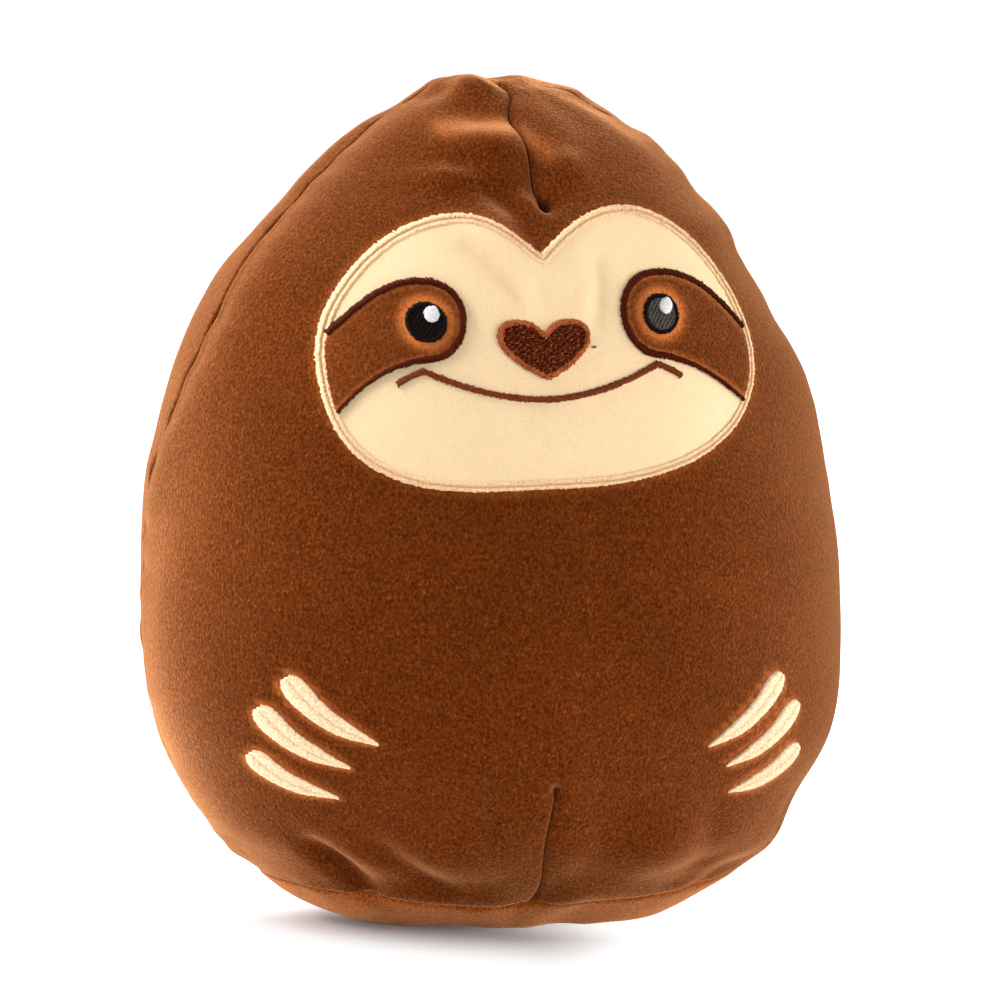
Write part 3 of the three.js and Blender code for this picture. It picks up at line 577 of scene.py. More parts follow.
def stuffing_moves():
    """What filling does to the coarse egg, without the steady swelling that it has already."""
    egg, depth = sewn_egg(COARSE_COLUMNS, COARSE_ROWS)
    outwards = grid_normals(egg)
    sewn = egg - outwards * depth[..., None]
    bumps = softened(TUFTS.normal(0, 1, (*sewn.shape[:2], 1)), TUFT_WIDTH)
    bumps -= softened(bumps, STEADY_WIDTH)
    between = near_pole(sewn)
    for column in (0, *seam_columns(sewn)):
        between = between * smoothstep(away_from(sewn, sewn[:, [column]]), 0, SEAMS_HOLD)
    tufted = sewn + outwards * between[..., None] * bumps * (TUFT_BUMPS / bumps.std())
    moves = stuff(tufted) + tufted - sewn
    steady = softened(moves, STEADY_WIDTH)
    moves = softened(moves - steady, 2)
    length = np.linalg.norm(moves, axis=-1, keepdims=True)
    moves *= np.minimum(1, MOST_MOVE / np.maximum(length, 1e-9))
    print("stuffing: steady swelling", round(float(away_from(steady, 0).mean()) / mm, 2),
          "mm, bumps up to", round(float(length.max()) / mm, 2), "mm")
    return moves


moves = stuffing_moves()

# %% [markdown]
# ## The fine cloth body
# Now the egg is made again with a point every millimetre or so, and everything is added to it:
# the stuffing's bumps, the seams and darts, the folds and the ripples. The result is the outer
# face of all four panels at once. It is also the ground that the face and the claws are sewn on,
# so a search tree is built from it that finds the cloth in front of any place.

# %% Fine body
COLUMNS, ROWS = 360, 240
LEAST_FACING = 0.4


def sewn_body():
    points, depth = sewn_egg(COLUMNS, ROWS)
    depth = depth - seam_ripples(points)
    calm = near_pole(points)[..., None]
    points = points - grid_normals(points) * depth[..., None] + calm * finer(moves, COLUMNS, ROWS)
    points[..., 2] = np.maximum(points[..., 2], 0)
    return points


body_points = sewn_body()
body_shape, body_row, body_column = sphere_of(body_points, "fine cloth:")
cloth_face = bvhtree.BVHTree.FromBMesh(body_shape)


def on_cloth(x, z, lift):
    """The place in front of the body at x and z, lifted off the cloth without leaving x and z."""
    place, normal, _, _ = cloth_face.ray_cast(Vector((x, -1, z)), Vector((0, 1, 0)))
    return place + Vector((0, -lift / max(LEAST_FACING, -normal.y), 0))


print("belly reaches", round(on_cloth(0, 80 * mm, 0).y / mm, 1), "mm")

# %% [markdown]
# ## Finishes
# The brown cloth is a short dense plush. Its pile drinks light where it is seen from above and
# glows where it is seen along the cloth, and it is mottled because the hairs lean every way.
# Sheen on the shader gives the glow, a fine noise gives the mottle in colour and in relief, and a
# broad noise gives the patches where a hand has stroked the pile. The cream cloth is shorter.
# Satin thread is smoother and shines along its length.

# %% Helpers for materials
def feed(tree, made, sockets):
    """Sets a node's sockets, each to a value or to another node's output."""
    for name, value in sockets.items():
        if isinstance(value, bpy.types.NodeSocket):
            tree.links.new(value, made.inputs[name])
        else:
            made.inputs[name].default_value = value


def node(tree, kind, sockets=None, **settings):
    made = tree.nodes.new("ShaderNode" + kind)
    for name, value in settings.items():
        setattr(made, name, value)
    feed(tree, made, sockets or {})
    return made


def finished(name, tree_maker):
    """A material whose shader gets the sockets that a function makes for its node tree."""
    material = bpy.data.materials.new(name)
    material.use_nodes = True
    tree = material.node_tree
    feed(tree, tree.nodes["Principled BSDF"], tree_maker(tree))
    return material


def object_place(tree):
    return node(tree, "TexCoord").outputs["Object"]


def object_noise(tree, scale, detail=2, roughness=0.5, squash=(1, 1, 1)):
    place = node(tree, "Mapping", {"Vector": object_place(tree), "Scale": squash}).outputs["Vector"]
    sockets = {"Vector": place, "Scale": scale, "Detail": detail, "Roughness": roughness}
    return node(tree, "TexNoise", sockets).outputs["Fac"]


def ramp(tree, value, *stops):
    """A colour ramp from (place, colour) stops."""
    made = node(tree, "ValToRGB", {"Fac": value})
    elements = made.color_ramp.elements
    while len(elements) < len(stops):
        elements.new(0.5)
    for element, (place, colour) in zip(elements, stops):
        element.position = place
        element.color = (*colour, 1)
    return made.outputs["Color"]


def mixed(tree, kind, share, first, second):
    sockets = {"Factor": share, "A": first, "B": second}
    return node(tree, "Mix", sockets, data_type="RGBA", blend_type=kind).outputs["Result"]


def raised(tree, height, distance):
    return node(tree, "Bump", {"Distance": distance, "Height": height}).outputs["Normal"]


def times(colour, factor):
    return tuple(factor * part for part in colour)


# %% Plush
# colour of a painted glow: the lighter orange rim that the pile shows where it catches light beside stitches
PAINTED_GLOW_COLOUR = (0.75, 0.21, 0.05)
SHEEN_TINT = (1.0, 0.46, 0.20)
STROKED_SCALE = 28
CLUMP_SCALE = 210


def plush(name, dark, light, tip, sheen, sheen_tint, grain, relief, stroke=0.12):
    """Short pile: a dark ground, lighter hairs and the palest tips, which also carry the sheen, with a
    painted glow mixed in where the mesh marks it.
    """

    def pile_of(tree):
        def shaded(scale, share):
            """Noise that is darker and lighter than one by a share."""
            ends = (0.3, times((1, 1, 1), 1 - share)), (0.7, times((1, 1, 1), 1 + share))
            return ramp(tree, object_noise(tree, scale), *ends)

        pile = object_noise(tree, grain, detail=3, roughness=0.6, squash=(1, 1, 0.8))
        colour = ramp(tree, pile, (0.34, dark), (0.62, light), (0.82, tip))
        colour = mixed(tree, "MULTIPLY", 1, colour, shaded(STROKED_SCALE, stroke))
        colour = mixed(tree, "MULTIPLY", 1, colour, shaded(CLUMP_SCALE, stroke / 2))
        # painted glow: a lighter orange colour mixed in where the mesh attribute marks it
        painted_glow = node(tree, "Attribute", attribute_name="painted_glow").outputs["Fac"]
        glow_colour = ramp(tree, pile, (0.35, times(PAINTED_GLOW_COLOUR, 0.6)), (0.65, PAINTED_GLOW_COLOUR))
        return {
            "Base Color": mixed(tree, "MIX", painted_glow, colour, glow_colour),
            "Normal": raised(tree, pile, relief),
            "Roughness": 0.95,
            "Specular IOR Level": 0.0,
            "Sheen Weight": sheen,
            "Sheen Roughness": 0.45,
            "Sheen Tint": ramp(tree, pile, (0.36, times(sheen_tint, 0.7)), (0.6, sheen_tint)),
        }

    return finished(name, pile_of)


brown_plush = plush("brown plush", (0.042, 0.006, 0.0004), (0.125, 0.0235, 0.0018), (0.30, 0.09, 0.025),
                    1.0, SHEEN_TINT, grain=1600, relief=0.24 * mm)
# the base panel's plush is painted lighter, standing in for light bounced up from the floor
plush_painted_bounce = plush("plush with painted bounce light", (0.11, 0.02, 0.0025), (0.33, 0.078, 0.01), (0.55, 0.18, 0.05),
                     1.0, SHEEN_TINT, grain=1600, relief=0.2 * mm)
cream_plush = plush("cream plush", (0.73, 0.53, 0.31), (0.78, 0.58, 0.35), (0.79, 0.59, 0.36),
                    0.12, (1.0, 0.9, 0.75), grain=1900, relief=0.06 * mm, stroke=0.03)
fleece = plush("fleece", (0.8, 0.8, 0.78), (0.9, 0.9, 0.88), (0.93, 0.93, 0.91),
               0.3, (1, 1, 1), grain=300, relief=0.8 * mm)
print("plush:", brown_plush.name, plush_painted_bounce.name, cream_plush.name, fleece.name)


# %% Thread and backing cloth
TWIST_SCALE = 1800
TWIST_RELIEF = 0.06 * mm
WEAVE_SCALE = 1500
WEAVE_RELIEF = 0.1 * mm


def thread(name, dark, light, shine=0.06, dark_until=0.3):
    def twist_of(tree):
        twist = object_noise(tree, TWIST_SCALE)
        return {
            "Base Color": ramp(tree, twist, (dark_until, dark), (0.7, light)),
            "Normal": raised(tree, twist, TWIST_RELIEF),
            "Roughness": 0.45,
            "Specular IOR Level": shine,
        }

    return finished(name, twist_of)


cream_satin = thread("cream satin", (0.72, 0.50, 0.30), (0.93, 0.78, 0.53), shine=0.1, dark_until=0.34)
# partly painted shade: the border thread is darker and more tan than the claws' thread, partly its own tone
# and partly the shade in the groove between its two cords
border_satin = thread("border satin", (0.70, 0.42, 0.20), (0.88, 0.66, 0.42), shine=0.25)
dark_thread = thread("dark thread", (0.03, 0.003, 0.0008), (0.085, 0.012, 0.0025), shine=0.03)
nose_thread = thread("nose thread", (0.05, 0.006, 0.001), (0.38, 0.07, 0.018), shine=0.03, dark_until=0.5)
rust_thread = thread("rust thread", (0.10, 0.018, 0.004), (0.21, 0.042, 0.009))
orange_thread = thread("orange thread", (0.14, 0.025, 0.005), (0.48, 0.13, 0.035))
black_thread = thread("black thread", (0.003, 0.002, 0.0015), (0.008, 0.005, 0.004), shine=0.03)
# painted sheen: the right eye's fill is the same black thread, painted grey where its satin shines
black_thread_painted_sheen = thread("black thread with painted sheen", (0.035, 0.028, 0.023), (0.09, 0.072, 0.06))
white_thread = thread("white thread", (0.5, 0.5, 0.51), (0.69, 0.69, 0.7), shine=0.1)


def woven(name, colour):
    def weave_of(tree):
        pair = {"Color1": (*colour, 1), "Color2": (*times(colour, 0.85), 1)}
        weave = node(tree, "TexChecker", {"Vector": object_place(tree), "Scale": WEAVE_SCALE, **pair})
        height = raised(tree, weave.outputs["Fac"], WEAVE_RELIEF)
        return {"Base Color": weave.outputs["Color"], "Normal": height, "Roughness": 0.9}

    return finished(name, weave_of)


backing_cloth = woven("backing cloth", (0.8, 0.78, 0.73))
print("threads and backing cloth ready")

# %% [markdown]
# ## Cutting the body into its panels
# The four panels are taken out of the fine body along the seams, so they meet exactly. Each
# panel's edge is turned in at the seam, as sewn cloth is, and its neighbour's edge lies against
# it with a hair's breadth between. Last, each panel gets the thickness of the cloth, inwards.

# %% Panels
FABRIC = 1.2 * mm
SEAM_GAP = 0.08 * mm
TURNED_IN = (1.2 * mm, 3.4 * mm)
TRIMMED = 20 * mm
seam_row = round(SEAM_SHARE * ROWS)
quarter = COLUMNS // 4


def panel_of(face):
    """The name of the panel that a face of the fine body belongs to."""
    rows = [int(body_row[v.index]) for v in face.verts]
    columns = [int(body_column[v.index]) for v in face.verts if 0 < body_row[v.index] < ROWS]
    if sum(rows) / len(rows) < seam_row:
        return "base_panel"
    if max(columns) - min(columns) > quarter:
        columns = [c if c > quarter else c + COLUMNS for c in columns]
    middle = (sum(columns) / len(columns)) % COLUMNS
    if middle < quarter or middle > 3 * quarter:
        return "front_panel"
    return "back_panel_right" if middle < 2 * quarter else "back_panel_left"


def turn_in(shape, inwards):
    """Turns a panel's cut edge in at the seam, in two steps."""
    crown = Vector(body_points[-1, 0])
    rim = [e for e in shape.edges if e.is_boundary]
    verts = {v for e in rim for v in e.verts}
    for v in verts:
        inside = [e.other_vert(v).co for e in v.link_edges if not e.is_boundary]
        if inside:
            back = sum(inside, Vector()) / len(inside) - v.co
            v.co += back.normalized() * min(SEAM_GAP, back.length / 4)
    rim = [e for e in rim if min((v.co - crown).length for v in e.verts) > TRIMMED]
    start = {v: v.co.copy() for v in verts}
    origin = {v: v for v in verts}
    for depth in TURNED_IN:
        new = bmesh.ops.extrude_edge_only(shape, edges=rim)["geom"]
        rim = [g for g in new if isinstance(g, bmesh.types.BMEdge) and g.is_boundary]
        fresh = {v for e in rim for v in e.verts}
        for v in fresh:
            below = next(e.other_vert(v) for e in v.link_edges if e.other_vert(v) not in fresh)
            origin[v] = origin[below]
            v.co = start[origin[v]] + inwards[origin[v]] * depth


def add_piece(piece, material, slot, *nodes):
    """Gives a piece its finish, hangs it on the root body and hides the plan's parts that it stands for."""
    piece.data.materials.clear()
    piece.data.materials.append(material)
    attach(piece, "root")
    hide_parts(*nodes)
    return piece


def thickened(piece, thickness):
    wall = piece.modifiers.new("thickness", "SOLIDIFY")
    wall.thickness = thickness
    wall.offset = -1
    wall.use_even_offset = False
    return piece


def paint_glow(piece, lines, glow_everywhere=0.0):
    """Marks a painted glow of light beside lines, each (points, closed, reach, strength): how strongly the
    colour is lightened there.
    """
    places = np.array([v.co for v in piece.data.vertices])
    painted_glow = np.full(len(places), glow_everywhere)
    for line, closed, reach, strength in lines:
        away, _ = distances(places[:, [0, 2]], line, closed)
        painted_glow = np.maximum(painted_glow, strength * bell(away, reach))
    marks = piece.data.attributes.new("painted_glow", "FLOAT", "POINT")
    marks.data.foreach_set("value", painted_glow * (places[:, 1] < CENTRE_Y))


def make_panels():
    body_shape.faces.ensure_lookup_table()
    body_shape.verts.index_update()
    owner = [panel_of(face) for face in body_shape.faces]
    made = {}
    for name in sorted(set(owner)):
        shape = body_shape.copy()
        shape.normal_update()
        inwards = {v: -v.normal.copy() for v in shape.verts}
        others = [face for face, whose in zip(shape.faces, owner) if whose != name]
        bmesh.ops.delete(shape, geom=others, context="FACES")
        turn_in(shape, inwards)
        piece = thickened(mesh_object("plush_" + name, shape), FABRIC)
        # the base panel gets the plush painted lighter for floor bounce light
        pile = plush_painted_bounce if name == "base_panel" else brown_plush
        made[name] = add_piece(piece, pile, "brown_plush", name)
        print("panel", name, len(piece.data.polygons), "faces")
    return made


panels = make_panels()

# %% [markdown]
# ## The filling
# Inside is a ball of loose polyester fibre. Nobody sees it, but it carries the panels, so it is
# there: the same egg, a cloth's thickness and a bit smaller, with grooves where the seams' edges
# are turned in.

# %% Filling
FILLING_GAP = 1.6 * mm
GROOVE = 3.2 * mm
GROOVE_REACH = 4 * mm
DART_GROOVE_REACH = 6 * mm
DART_GROOVE_PAST_TIP = 5 * mm
PUCKER_REACH = 7 * mm


def make_filling():
    points, depth = sewn_egg(COARSE_COLUMNS, COARSE_ROWS)
    near = bell(away_from(points, points[[seam_row_of(points)]]), GROOVE_REACH)
    above = np.arange(COARSE_ROWS + 1)[:, None] >= SEAM_SHARE * COARSE_ROWS
    for column in seam_columns(points):
        near = np.maximum(near, above * bell(away_from(points, points[:, [column]]), GROOVE_REACH))
    z = points[..., 2]
    in_dart = (z > CROWN_DART_TIP - DART_GROOVE_PAST_TIP) | (z < BASE_DART_TIP + DART_GROOVE_PAST_TIP)
    near = np.maximum(near, in_dart * bell(away_from(points, points[:, [0]]), DART_GROOVE_REACH))
    for tip in (CROWN_DART_TIP, BASE_DART_TIP):
        near += bell(away_from(points, on_front_line(points, tip)), PUCKER_REACH)
    depth = depth + FABRIC + FILLING_GAP + GROOVE * near
    shape, _, _ = sphere_of(points - grid_normals(points) * depth[..., None], "filling:")
    piece = add_piece(mesh_object("soft_filling", shape), fleece, "fibre_fill", "fibre_filling")


make_filling()

# %% [markdown]
# ## Outlines for the face and the claws
# Everything on the front is first drawn flat, as a maker draws it on the cloth: an outline is a
# few curves joined end to end, drawn in millimetres round its own middle. Then it is set in its
# place on the front and laid on the body. The toy was sewn by hand and has settled, so its left
# and right halves differ a little, and so do the drawings.

# %% Drawing helpers
LINE_STEP = 0.5 * mm
CROSSED_BELOW = 0.93


def curve(corners, count):
    """Points on a cubic curve with four corners, without the last one."""
    a, b, c, d = np.array(corners, float)
    t = np.linspace(0, 1, count, endpoint=False)[:, None]
    return (1 - t) ** 3 * a + 3 * (1 - t) ** 2 * t * b + 3 * (1 - t) * t**2 * c + t**3 * d


def joined(*curves, count=24):
    return np.concatenate([curve(corners, count) for corners in curves])


def with_mirror(half):
    """A half outline that starts on the centre line, closed by its mirror image."""
    return np.concatenate([half, [[-x, z] for x, z in half[:0:-1]]])


def turning(degrees):
    """The matrix that turns flat points, standing on its left."""
    cos, sin = math.cos(math.radians(degrees)), math.sin(math.radians(degrees))
    return np.array([[cos, sin], [-sin, cos]])


def placed(points, middle, tilt=0.0):
    """From a flat drawing in millimetres to x and z in metres."""
    return (np.asarray(points, float) @ turning(tilt) + middle) * mm


def evenly(outline, step, closed=True):
    """The same line with points a step apart."""
    ring = np.concatenate([outline, outline[:1]]) if closed else np.asarray(outline)
    walk = walk_along(ring)
    count = max(3, round(walk[-1] / step))
    places = np.linspace(0, walk[-1], count, endpoint=not closed)
    return np.stack([np.interp(places, walk, ring[:, k]) for k in (0, 1)], axis=1)


def sideways(line, closed=True):
    """The unit vector to the left of a line at each of its points."""
    if closed:
        along = np.roll(line, -1, axis=0) - np.roll(line, 1, axis=0)
    else:
        along = np.gradient(line, axis=0)
    along = unit(along)
    return np.stack([-along[:, 1], along[:, 0]], axis=1)


def distances(points, outline, closed=True):
    """How far each point is from an outline, and the nearest place on it."""
    best = np.full(len(points), np.inf)
    nearest = np.array(points, float)
    ends = np.roll(outline, -1, axis=0)
    for start, end in list(zip(outline, ends))[: None if closed else -1]:
        along = end - start
        t = np.clip((points - start) @ along / max(along @ along, 1e-18), 0, 1)[:, None]
        place = start + t * along
        away = away_from(points, place)
        closer = away < best
        best[closer], nearest[closer] = away[closer], place[closer]
    return best, nearest


def inside(points, outline):
    """Which points lie inside a closed outline."""
    x, z = points[:, 0], points[:, 1]
    within = np.zeros(len(points), bool)
    for (x0, z0), (x1, z1) in zip(outline, np.roll(outline, -1, axis=0)):
        crosses = (z0 > z) != (z1 > z)
        at = x0 + (z - z0) / np.where(z1 == z0, 1, z1 - z0) * (x1 - x0)
        within ^= crosses & (x < at)
    return within


def drawn_in(outline, distance):
    """An outline moved inwards, without the points that would cross over."""
    line = evenly(outline, LINE_STEP)
    area = np.sum(line[:, 0] * np.roll(line[:, 1], -1) - line[:, 1] * np.roll(line[:, 0], -1))
    moved = line + sideways(line) * distance * np.sign(area)
    away, _ = distances(moved, line)
    return moved[away > abs(distance) * CROSSED_BELOW]


# %% Outlines of the face
FACE_MIDDLE = (1.5, 135)
NOTCH = (-0.6, 23.6)

face_outline = placed(joined(
    [NOTCH, (7, 31), (13, 34.5), (21, 34.5)],
    [(21, 34.5), (36.5, 34.5), (52, 15), (52.4, 0)],
    [(52.4, 0), (52.8, -17), (34, -28.8), (0, -28.8)],
    [(0, -28.8), (-7, -28.8), (-13, -29.2), (-20, -29.2)],
    [(-20, -29.2), (-45, -29.2), (-52.5, -17), (-52.3, 1)],
    [(-52.3, 1), (-51.5, 15.5), (-35, 33), (-18.5, 33)],
    [(-18.5, 33), (-12, 33), (-7.5, 30), NOTCH],
), FACE_MIDDLE)
print("face outline:", len(face_outline), "points")

# %% [markdown]
# ## Sheets of cloth that are sewn on
# A patch is cut from flat cloth: a grid is cut to the outline, its rim is set on the line and the
# cells next to it are evened out. Then it is laid on the body, where it follows every swelling,
# and thickened. The stitches press its rim down. The drawing is what the front shows, and the body
# curves away from it, so the cloth is cut larger than drawn: by as much as its area grows.

# %% Cut and lay a sheet
RIM_PRESSED = 0.35 * mm
RIM_WIDTH = 0.9 * mm


def cut_sheet(name, outline, level, thickness, cell=0.9 * mm, pressed=RIM_PRESSED):
    low, high = outline.min(axis=0), outline.max(axis=0)
    size = high - low
    across, up = (int(math.ceil(s / cell)) for s in size)
    shape = bmesh.new()
    bmesh.ops.create_grid(shape, x_segments=across, y_segments=up, size=0.5)
    bmesh.ops.scale(shape, vec=(size[0], size[1], 1), verts=shape.verts)
    middle = (low + high) / 2
    bmesh.ops.translate(shape, vec=(middle[0], middle[1], 0), verts=shape.verts)
    centres = np.array([f.calc_center_median().xy for f in shape.faces])
    outside = [f for f, keep in zip(shape.faces, inside(centres, outline)) if not keep]
    bmesh.ops.delete(shape, geom=outside, context="FACES")
    rim = [v for v in shape.verts if v.is_boundary]
    _, places = distances(np.array([v.co.xy for v in rim]), outline)
    for vert, place in zip(rim, places):
        vert.co.xy = place
    inner = [v for v in shape.verts if not v.is_boundary]
    for _ in range(3):
        bmesh.ops.smooth_vert(shape, verts=inner, factor=0.5, use_axis_x=True, use_axis_y=True)
    flat_area = sum(f.calc_area() for f in shape.faces)
    depth, _ = distances(np.array([v.co.xy for v in shape.verts]), outline)
    for vert, away in zip(shape.verts, depth):
        lift = level + thickness - pressed * bell(away, RIM_WIDTH)
        vert.co = on_cloth(vert.co.x, vert.co.y, lift)
    shape.normal_update()
    if sum(f.normal.y for f in shape.faces) > 0:
        bmesh.ops.reverse_faces(shape, faces=shape.faces)
    laid_area = sum(f.calc_area() for f in shape.faces)
    size = size * math.sqrt(laid_area / flat_area)
    piece = thickened(mesh_object(name, shape), thickness)
    print(name, "cut", [round(float(s) / mm, 1) for s in size], "mm,", len(piece.data.polygons), "faces")
    return piece, size, laid_area


def sewn_sheet(name, outline, level, thickness, material, slot, node, under, **more):
    piece, size, area = cut_sheet(name, outline, level, thickness, **more)
    add_piece(piece, material, slot, node)
    return piece


FACE_CLOTH = 0.9 * mm
PATCH_GAP = 0.1 * mm
sewn_sheet("cloth_face_patch", face_outline, PATCH_GAP, FACE_CLOTH, cream_plush, "cream_plush",
           "face_patch", "plush_front_panel")

# %% Eye patches
EYES = {"left": (-27.2, 143.8), "right": (28.9, 144.9)}
# painted light: the left eye patch is painted a little lighter all over, where more light falls; the right
# one isn't
EYE_PATCH_PAINTED_LIGHT = {"left": 0.06, "right": 0.0}
# how far beside the stitches a painted glow of light reaches, and how strongly
GLOW_AT_EDGING = (1 * mm, 0.7)
GLOW_AT_EYE = (1.8 * mm, 0.85)
EYE_RADIUS = 4.5 * mm
EYE_CLOTH = 0.7 * mm
EYE_LEVEL = PATCH_GAP + FACE_CLOTH
BORDER_COVERS = 1.4 * mm
EYE_PATCHES = {
    # middle of the round end, side, upper curve and lower curve from there to past the border
    "left": ((-27.6, 144.9), -1,
             [(0, 8.1), (8, 8.1), (14, 2.8), (28, -11)],
             [(27, -31), (16.5, -15.5), (9, -10.5), (0, -9.4)]),
    "right": ((28.4, 145.2), 1,
              [(0, 9), (10, 9.8), (17, 3.5), (29, -11)],
              [(28, -27), (17, -16), (9, -11.5), (0, -9.5)]),
}


def eye_patch_outline(middle, side, upper, lower):
    """A round inner end with a tail that runs out past the face patch's border."""
    top, low = upper[0][1], lower[-1][1]
    drawn = joined(
        upper,
        [upper[-1], (30, -16), (30, -22), lower[0]],
        lower,
        [(0, low), (-5.5, low), (-8.8, -4.5), (-8.8, 0)],
        [(-8.8, 0), (-8.8, 4.8), (-5.5, top), (0, top)],
    )
    return placed(drawn * (side, 1), middle)


def round_outline(middle, radius, count=72):
    angle = np.arange(count) / count * 2 * math.pi
    return middle + radius * np.stack([np.cos(angle), np.sin(angle)], axis=1)


def cut_at(outline, limit):
    """An outline held back at a limit: the whole line, and the stretch of it that stays free."""
    line = evenly(outline, LINE_STEP)
    free = inside(line, limit)
    _, held = distances(line, limit)
    first = int(np.argmax(~free & np.roll(free, -1)))
    turned = np.roll(free, -first - 1)
    stretch = np.roll(line, -first - 1, axis=0)[turned]
    return np.where(free[:, None], line, held), stretch


eye_edges = {}
for word, drawing in EYE_PATCHES.items():
    outline, eye_edges[word] = cut_at(eye_patch_outline(*drawing), drawn_in(face_outline, BORDER_COVERS))
    patch = sewn_sheet("cloth_eye_patch_" + word, outline, EYE_LEVEL, EYE_CLOTH, brown_plush, "brown_plush",
                       "eye_patch_" + word, "cloth_face_patch", cell=0.6 * mm)
    eye = round_outline(np.array(EYES[word]) * mm, EYE_RADIUS)
    paint_glow(patch, [(eye_edges[word][::4], False, *GLOW_AT_EDGING), (eye[::3], True, *GLOW_AT_EYE)],
              glow_everywhere=EYE_PATCH_PAINTED_LIGHT[word])

# %% [markdown]
# ## Stitches
# Satin embroidery is one thread after another, side by side, each going down through the cloth at
# both ends. So each stitch is made as a short line that dips at its ends and bows up in between,
# and a round section is run along it. All the stitches of one field share one curve object, which
# is then turned into a mesh. Small seeded shifts of the ends give the slightly ragged edge that
# machine embroidery has.

# %% Lay stitches
THREAD = 0.42 * mm
PITCH = 0.38 * mm
SHORTEST_STITCH = 0.3 * mm
needle = np.random.default_rng(11)
STITCH_BOW = [(0, -0.5), (0.1, 0.45), (0.32, 0.92), (0.5, 1), (0.68, 0.92), (0.9, 0.45), (1, -0.5)]


def lay_stitches(name, stitches, level, bow, material, slot, *nodes, width=THREAD, ragged=0.1 * mm):
    """One piece of embroidery. Each stitch is a pair of places on the flat drawing, in metres."""
    data = bpy.data.curves.new(name, "CURVE")
    data.dimensions = "3D"
    data.bevel_depth = width / 2
    data.bevel_resolution = 1
    data.use_fill_caps = True
    for start, end in stitches:
        along = end - start
        long = np.linalg.norm(along)
        if long < SHORTEST_STITCH:
            continue
        start = start - along / long * needle.normal(0, ragged)
        end = end + along / long * needle.normal(0, ragged)
        tone = needle.uniform(0.9, 1.1)
        spline = data.splines.new("POLY")
        spline.points.add(len(STITCH_BOW) - 1)
        for point, (share, height) in zip(spline.points, STITCH_BOW):
            x, z = start + (end - start) * share
            point.co = (*on_cloth(float(x), float(z), level + bow * tone * height), 1)
    sewn = linked(name + "_line", data)
    mesh = bpy.data.meshes.new_from_object(sewn.evaluated_get(bpy.context.evaluated_depsgraph_get()))
    bpy.data.objects.remove(sewn)
    mesh.shade_smooth()
    print(name, len(stitches), "stitches,", len(mesh.polygons), "faces")
    return add_piece(linked(name, mesh), material, slot, *nodes)


def satin_band(line, width, closed=True, slant=0.0):
    """Stitches across a line. The width is one number, or a function of the share along the line."""
    line = evenly(line, PITCH, closed)
    across = sideways(line, closed)
    along = np.stack([across[:, 1], -across[:, 0]], axis=1)
    share = np.linspace(0, 1, len(line))
    half = (width(share) if callable(width) else np.full(len(line), width))[:, None] / 2
    return list(zip(line - across * half - along * slant / 2, line + across * half + along * slant / 2))


# %% Border of the face
BORDER_CORD = 0.9 * mm
BORDER_GROOVE = 0.3 * mm
BORDER_LEVEL = 0.5 * mm
BORDER_BOW = 0.75 * mm
cords = [satin_band(drawn_in(face_outline, inset), BORDER_CORD)
         for inset in (BORDER_CORD / 2, BORDER_CORD * 1.5 + BORDER_GROOVE)]
lay_stitches("satin_face_border", cords[0] + cords[1], BORDER_LEVEL, BORDER_BOW, border_satin, "cream_satin",
             "face_border")

# %% Edging of the eye patches
EDGING_WIDE = 1.55 * mm
EDGING_FINE = 0.7 * mm
EDGING_BOW = 1.0 * mm


def edging_width(share):
    """Fine along the brow, full round the inner end, and a little finer again below."""
    full = smoothstep(share, 0.1, 0.35) * (1 - 0.3 * smoothstep(share, 0.6, 0.8))
    return EDGING_FINE + (EDGING_WIDE - EDGING_FINE) * full


for word, edge in eye_edges.items():
    lay_stitches("satin_eye_edging_" + word, satin_band(edge, edging_width, closed=False), EYE_LEVEL,
                 EDGING_BOW, dark_thread, "dark_thread", "eye_edging_" + word)

# %% Eyes
EYE_TOP = EYE_LEVEL + EYE_CLOTH
EYE_RING = 0.9 * mm
RING_BOW = 0.65 * mm
DISC_INSET = 0.7 * mm
DISC_DIRECTION = 35
DISC_PITCH = 0.3 * mm
DISC_LONGEST = 2.4 * mm
DISC_BOW = 0.4 * mm
GLINT_RADIUS = 1.8 * mm
GLINT_SHIFT = (1.3, 1.9)
GLINT_DIRECTION = -20
GLINT_PITCH = 0.26 * mm
GLINT_LIFT = 0.3 * mm
GLINT_BOW = 0.6 * mm
GLINT_RAGGED = 0.04 * mm
LEAST_CUT = 0.5 * mm


def filled(outline, direction, pitch=PITCH, longest=None):
    """Parallel stitches that fill an outline. Where longest is given, long rows are split at it."""
    turned = outline @ turning(-direction)
    stitches = []
    for k, level in enumerate(np.arange(turned[:, 1].min() + pitch / 2, turned[:, 1].max(), pitch)):
        ends = []
        for (x0, z0), (x1, z1) in zip(turned, np.roll(turned, -1, axis=0)):
            if (z0 > level) != (z1 > level):
                ends.append(x0 + (level - z0) / (z1 - z0) * (x1 - x0))
        ends.sort()
        for left, right in zip(ends[::2], ends[1::2]):
            cuts = [left, right]
            if longest:
                shift = (k % 3) / 3 * longest
                inner = np.arange(left - left % longest + shift, right, longest)
                cuts = [left, *inner[(inner > left + LEAST_CUT) & (inner < right - LEAST_CUT)], right]
            stitches += [(np.array([a, level]), np.array([b, level])) for a, b in zip(cuts, cuts[1:])]
    back = turning(direction)
    return [(start @ back, end @ back) for start, end in stitches]


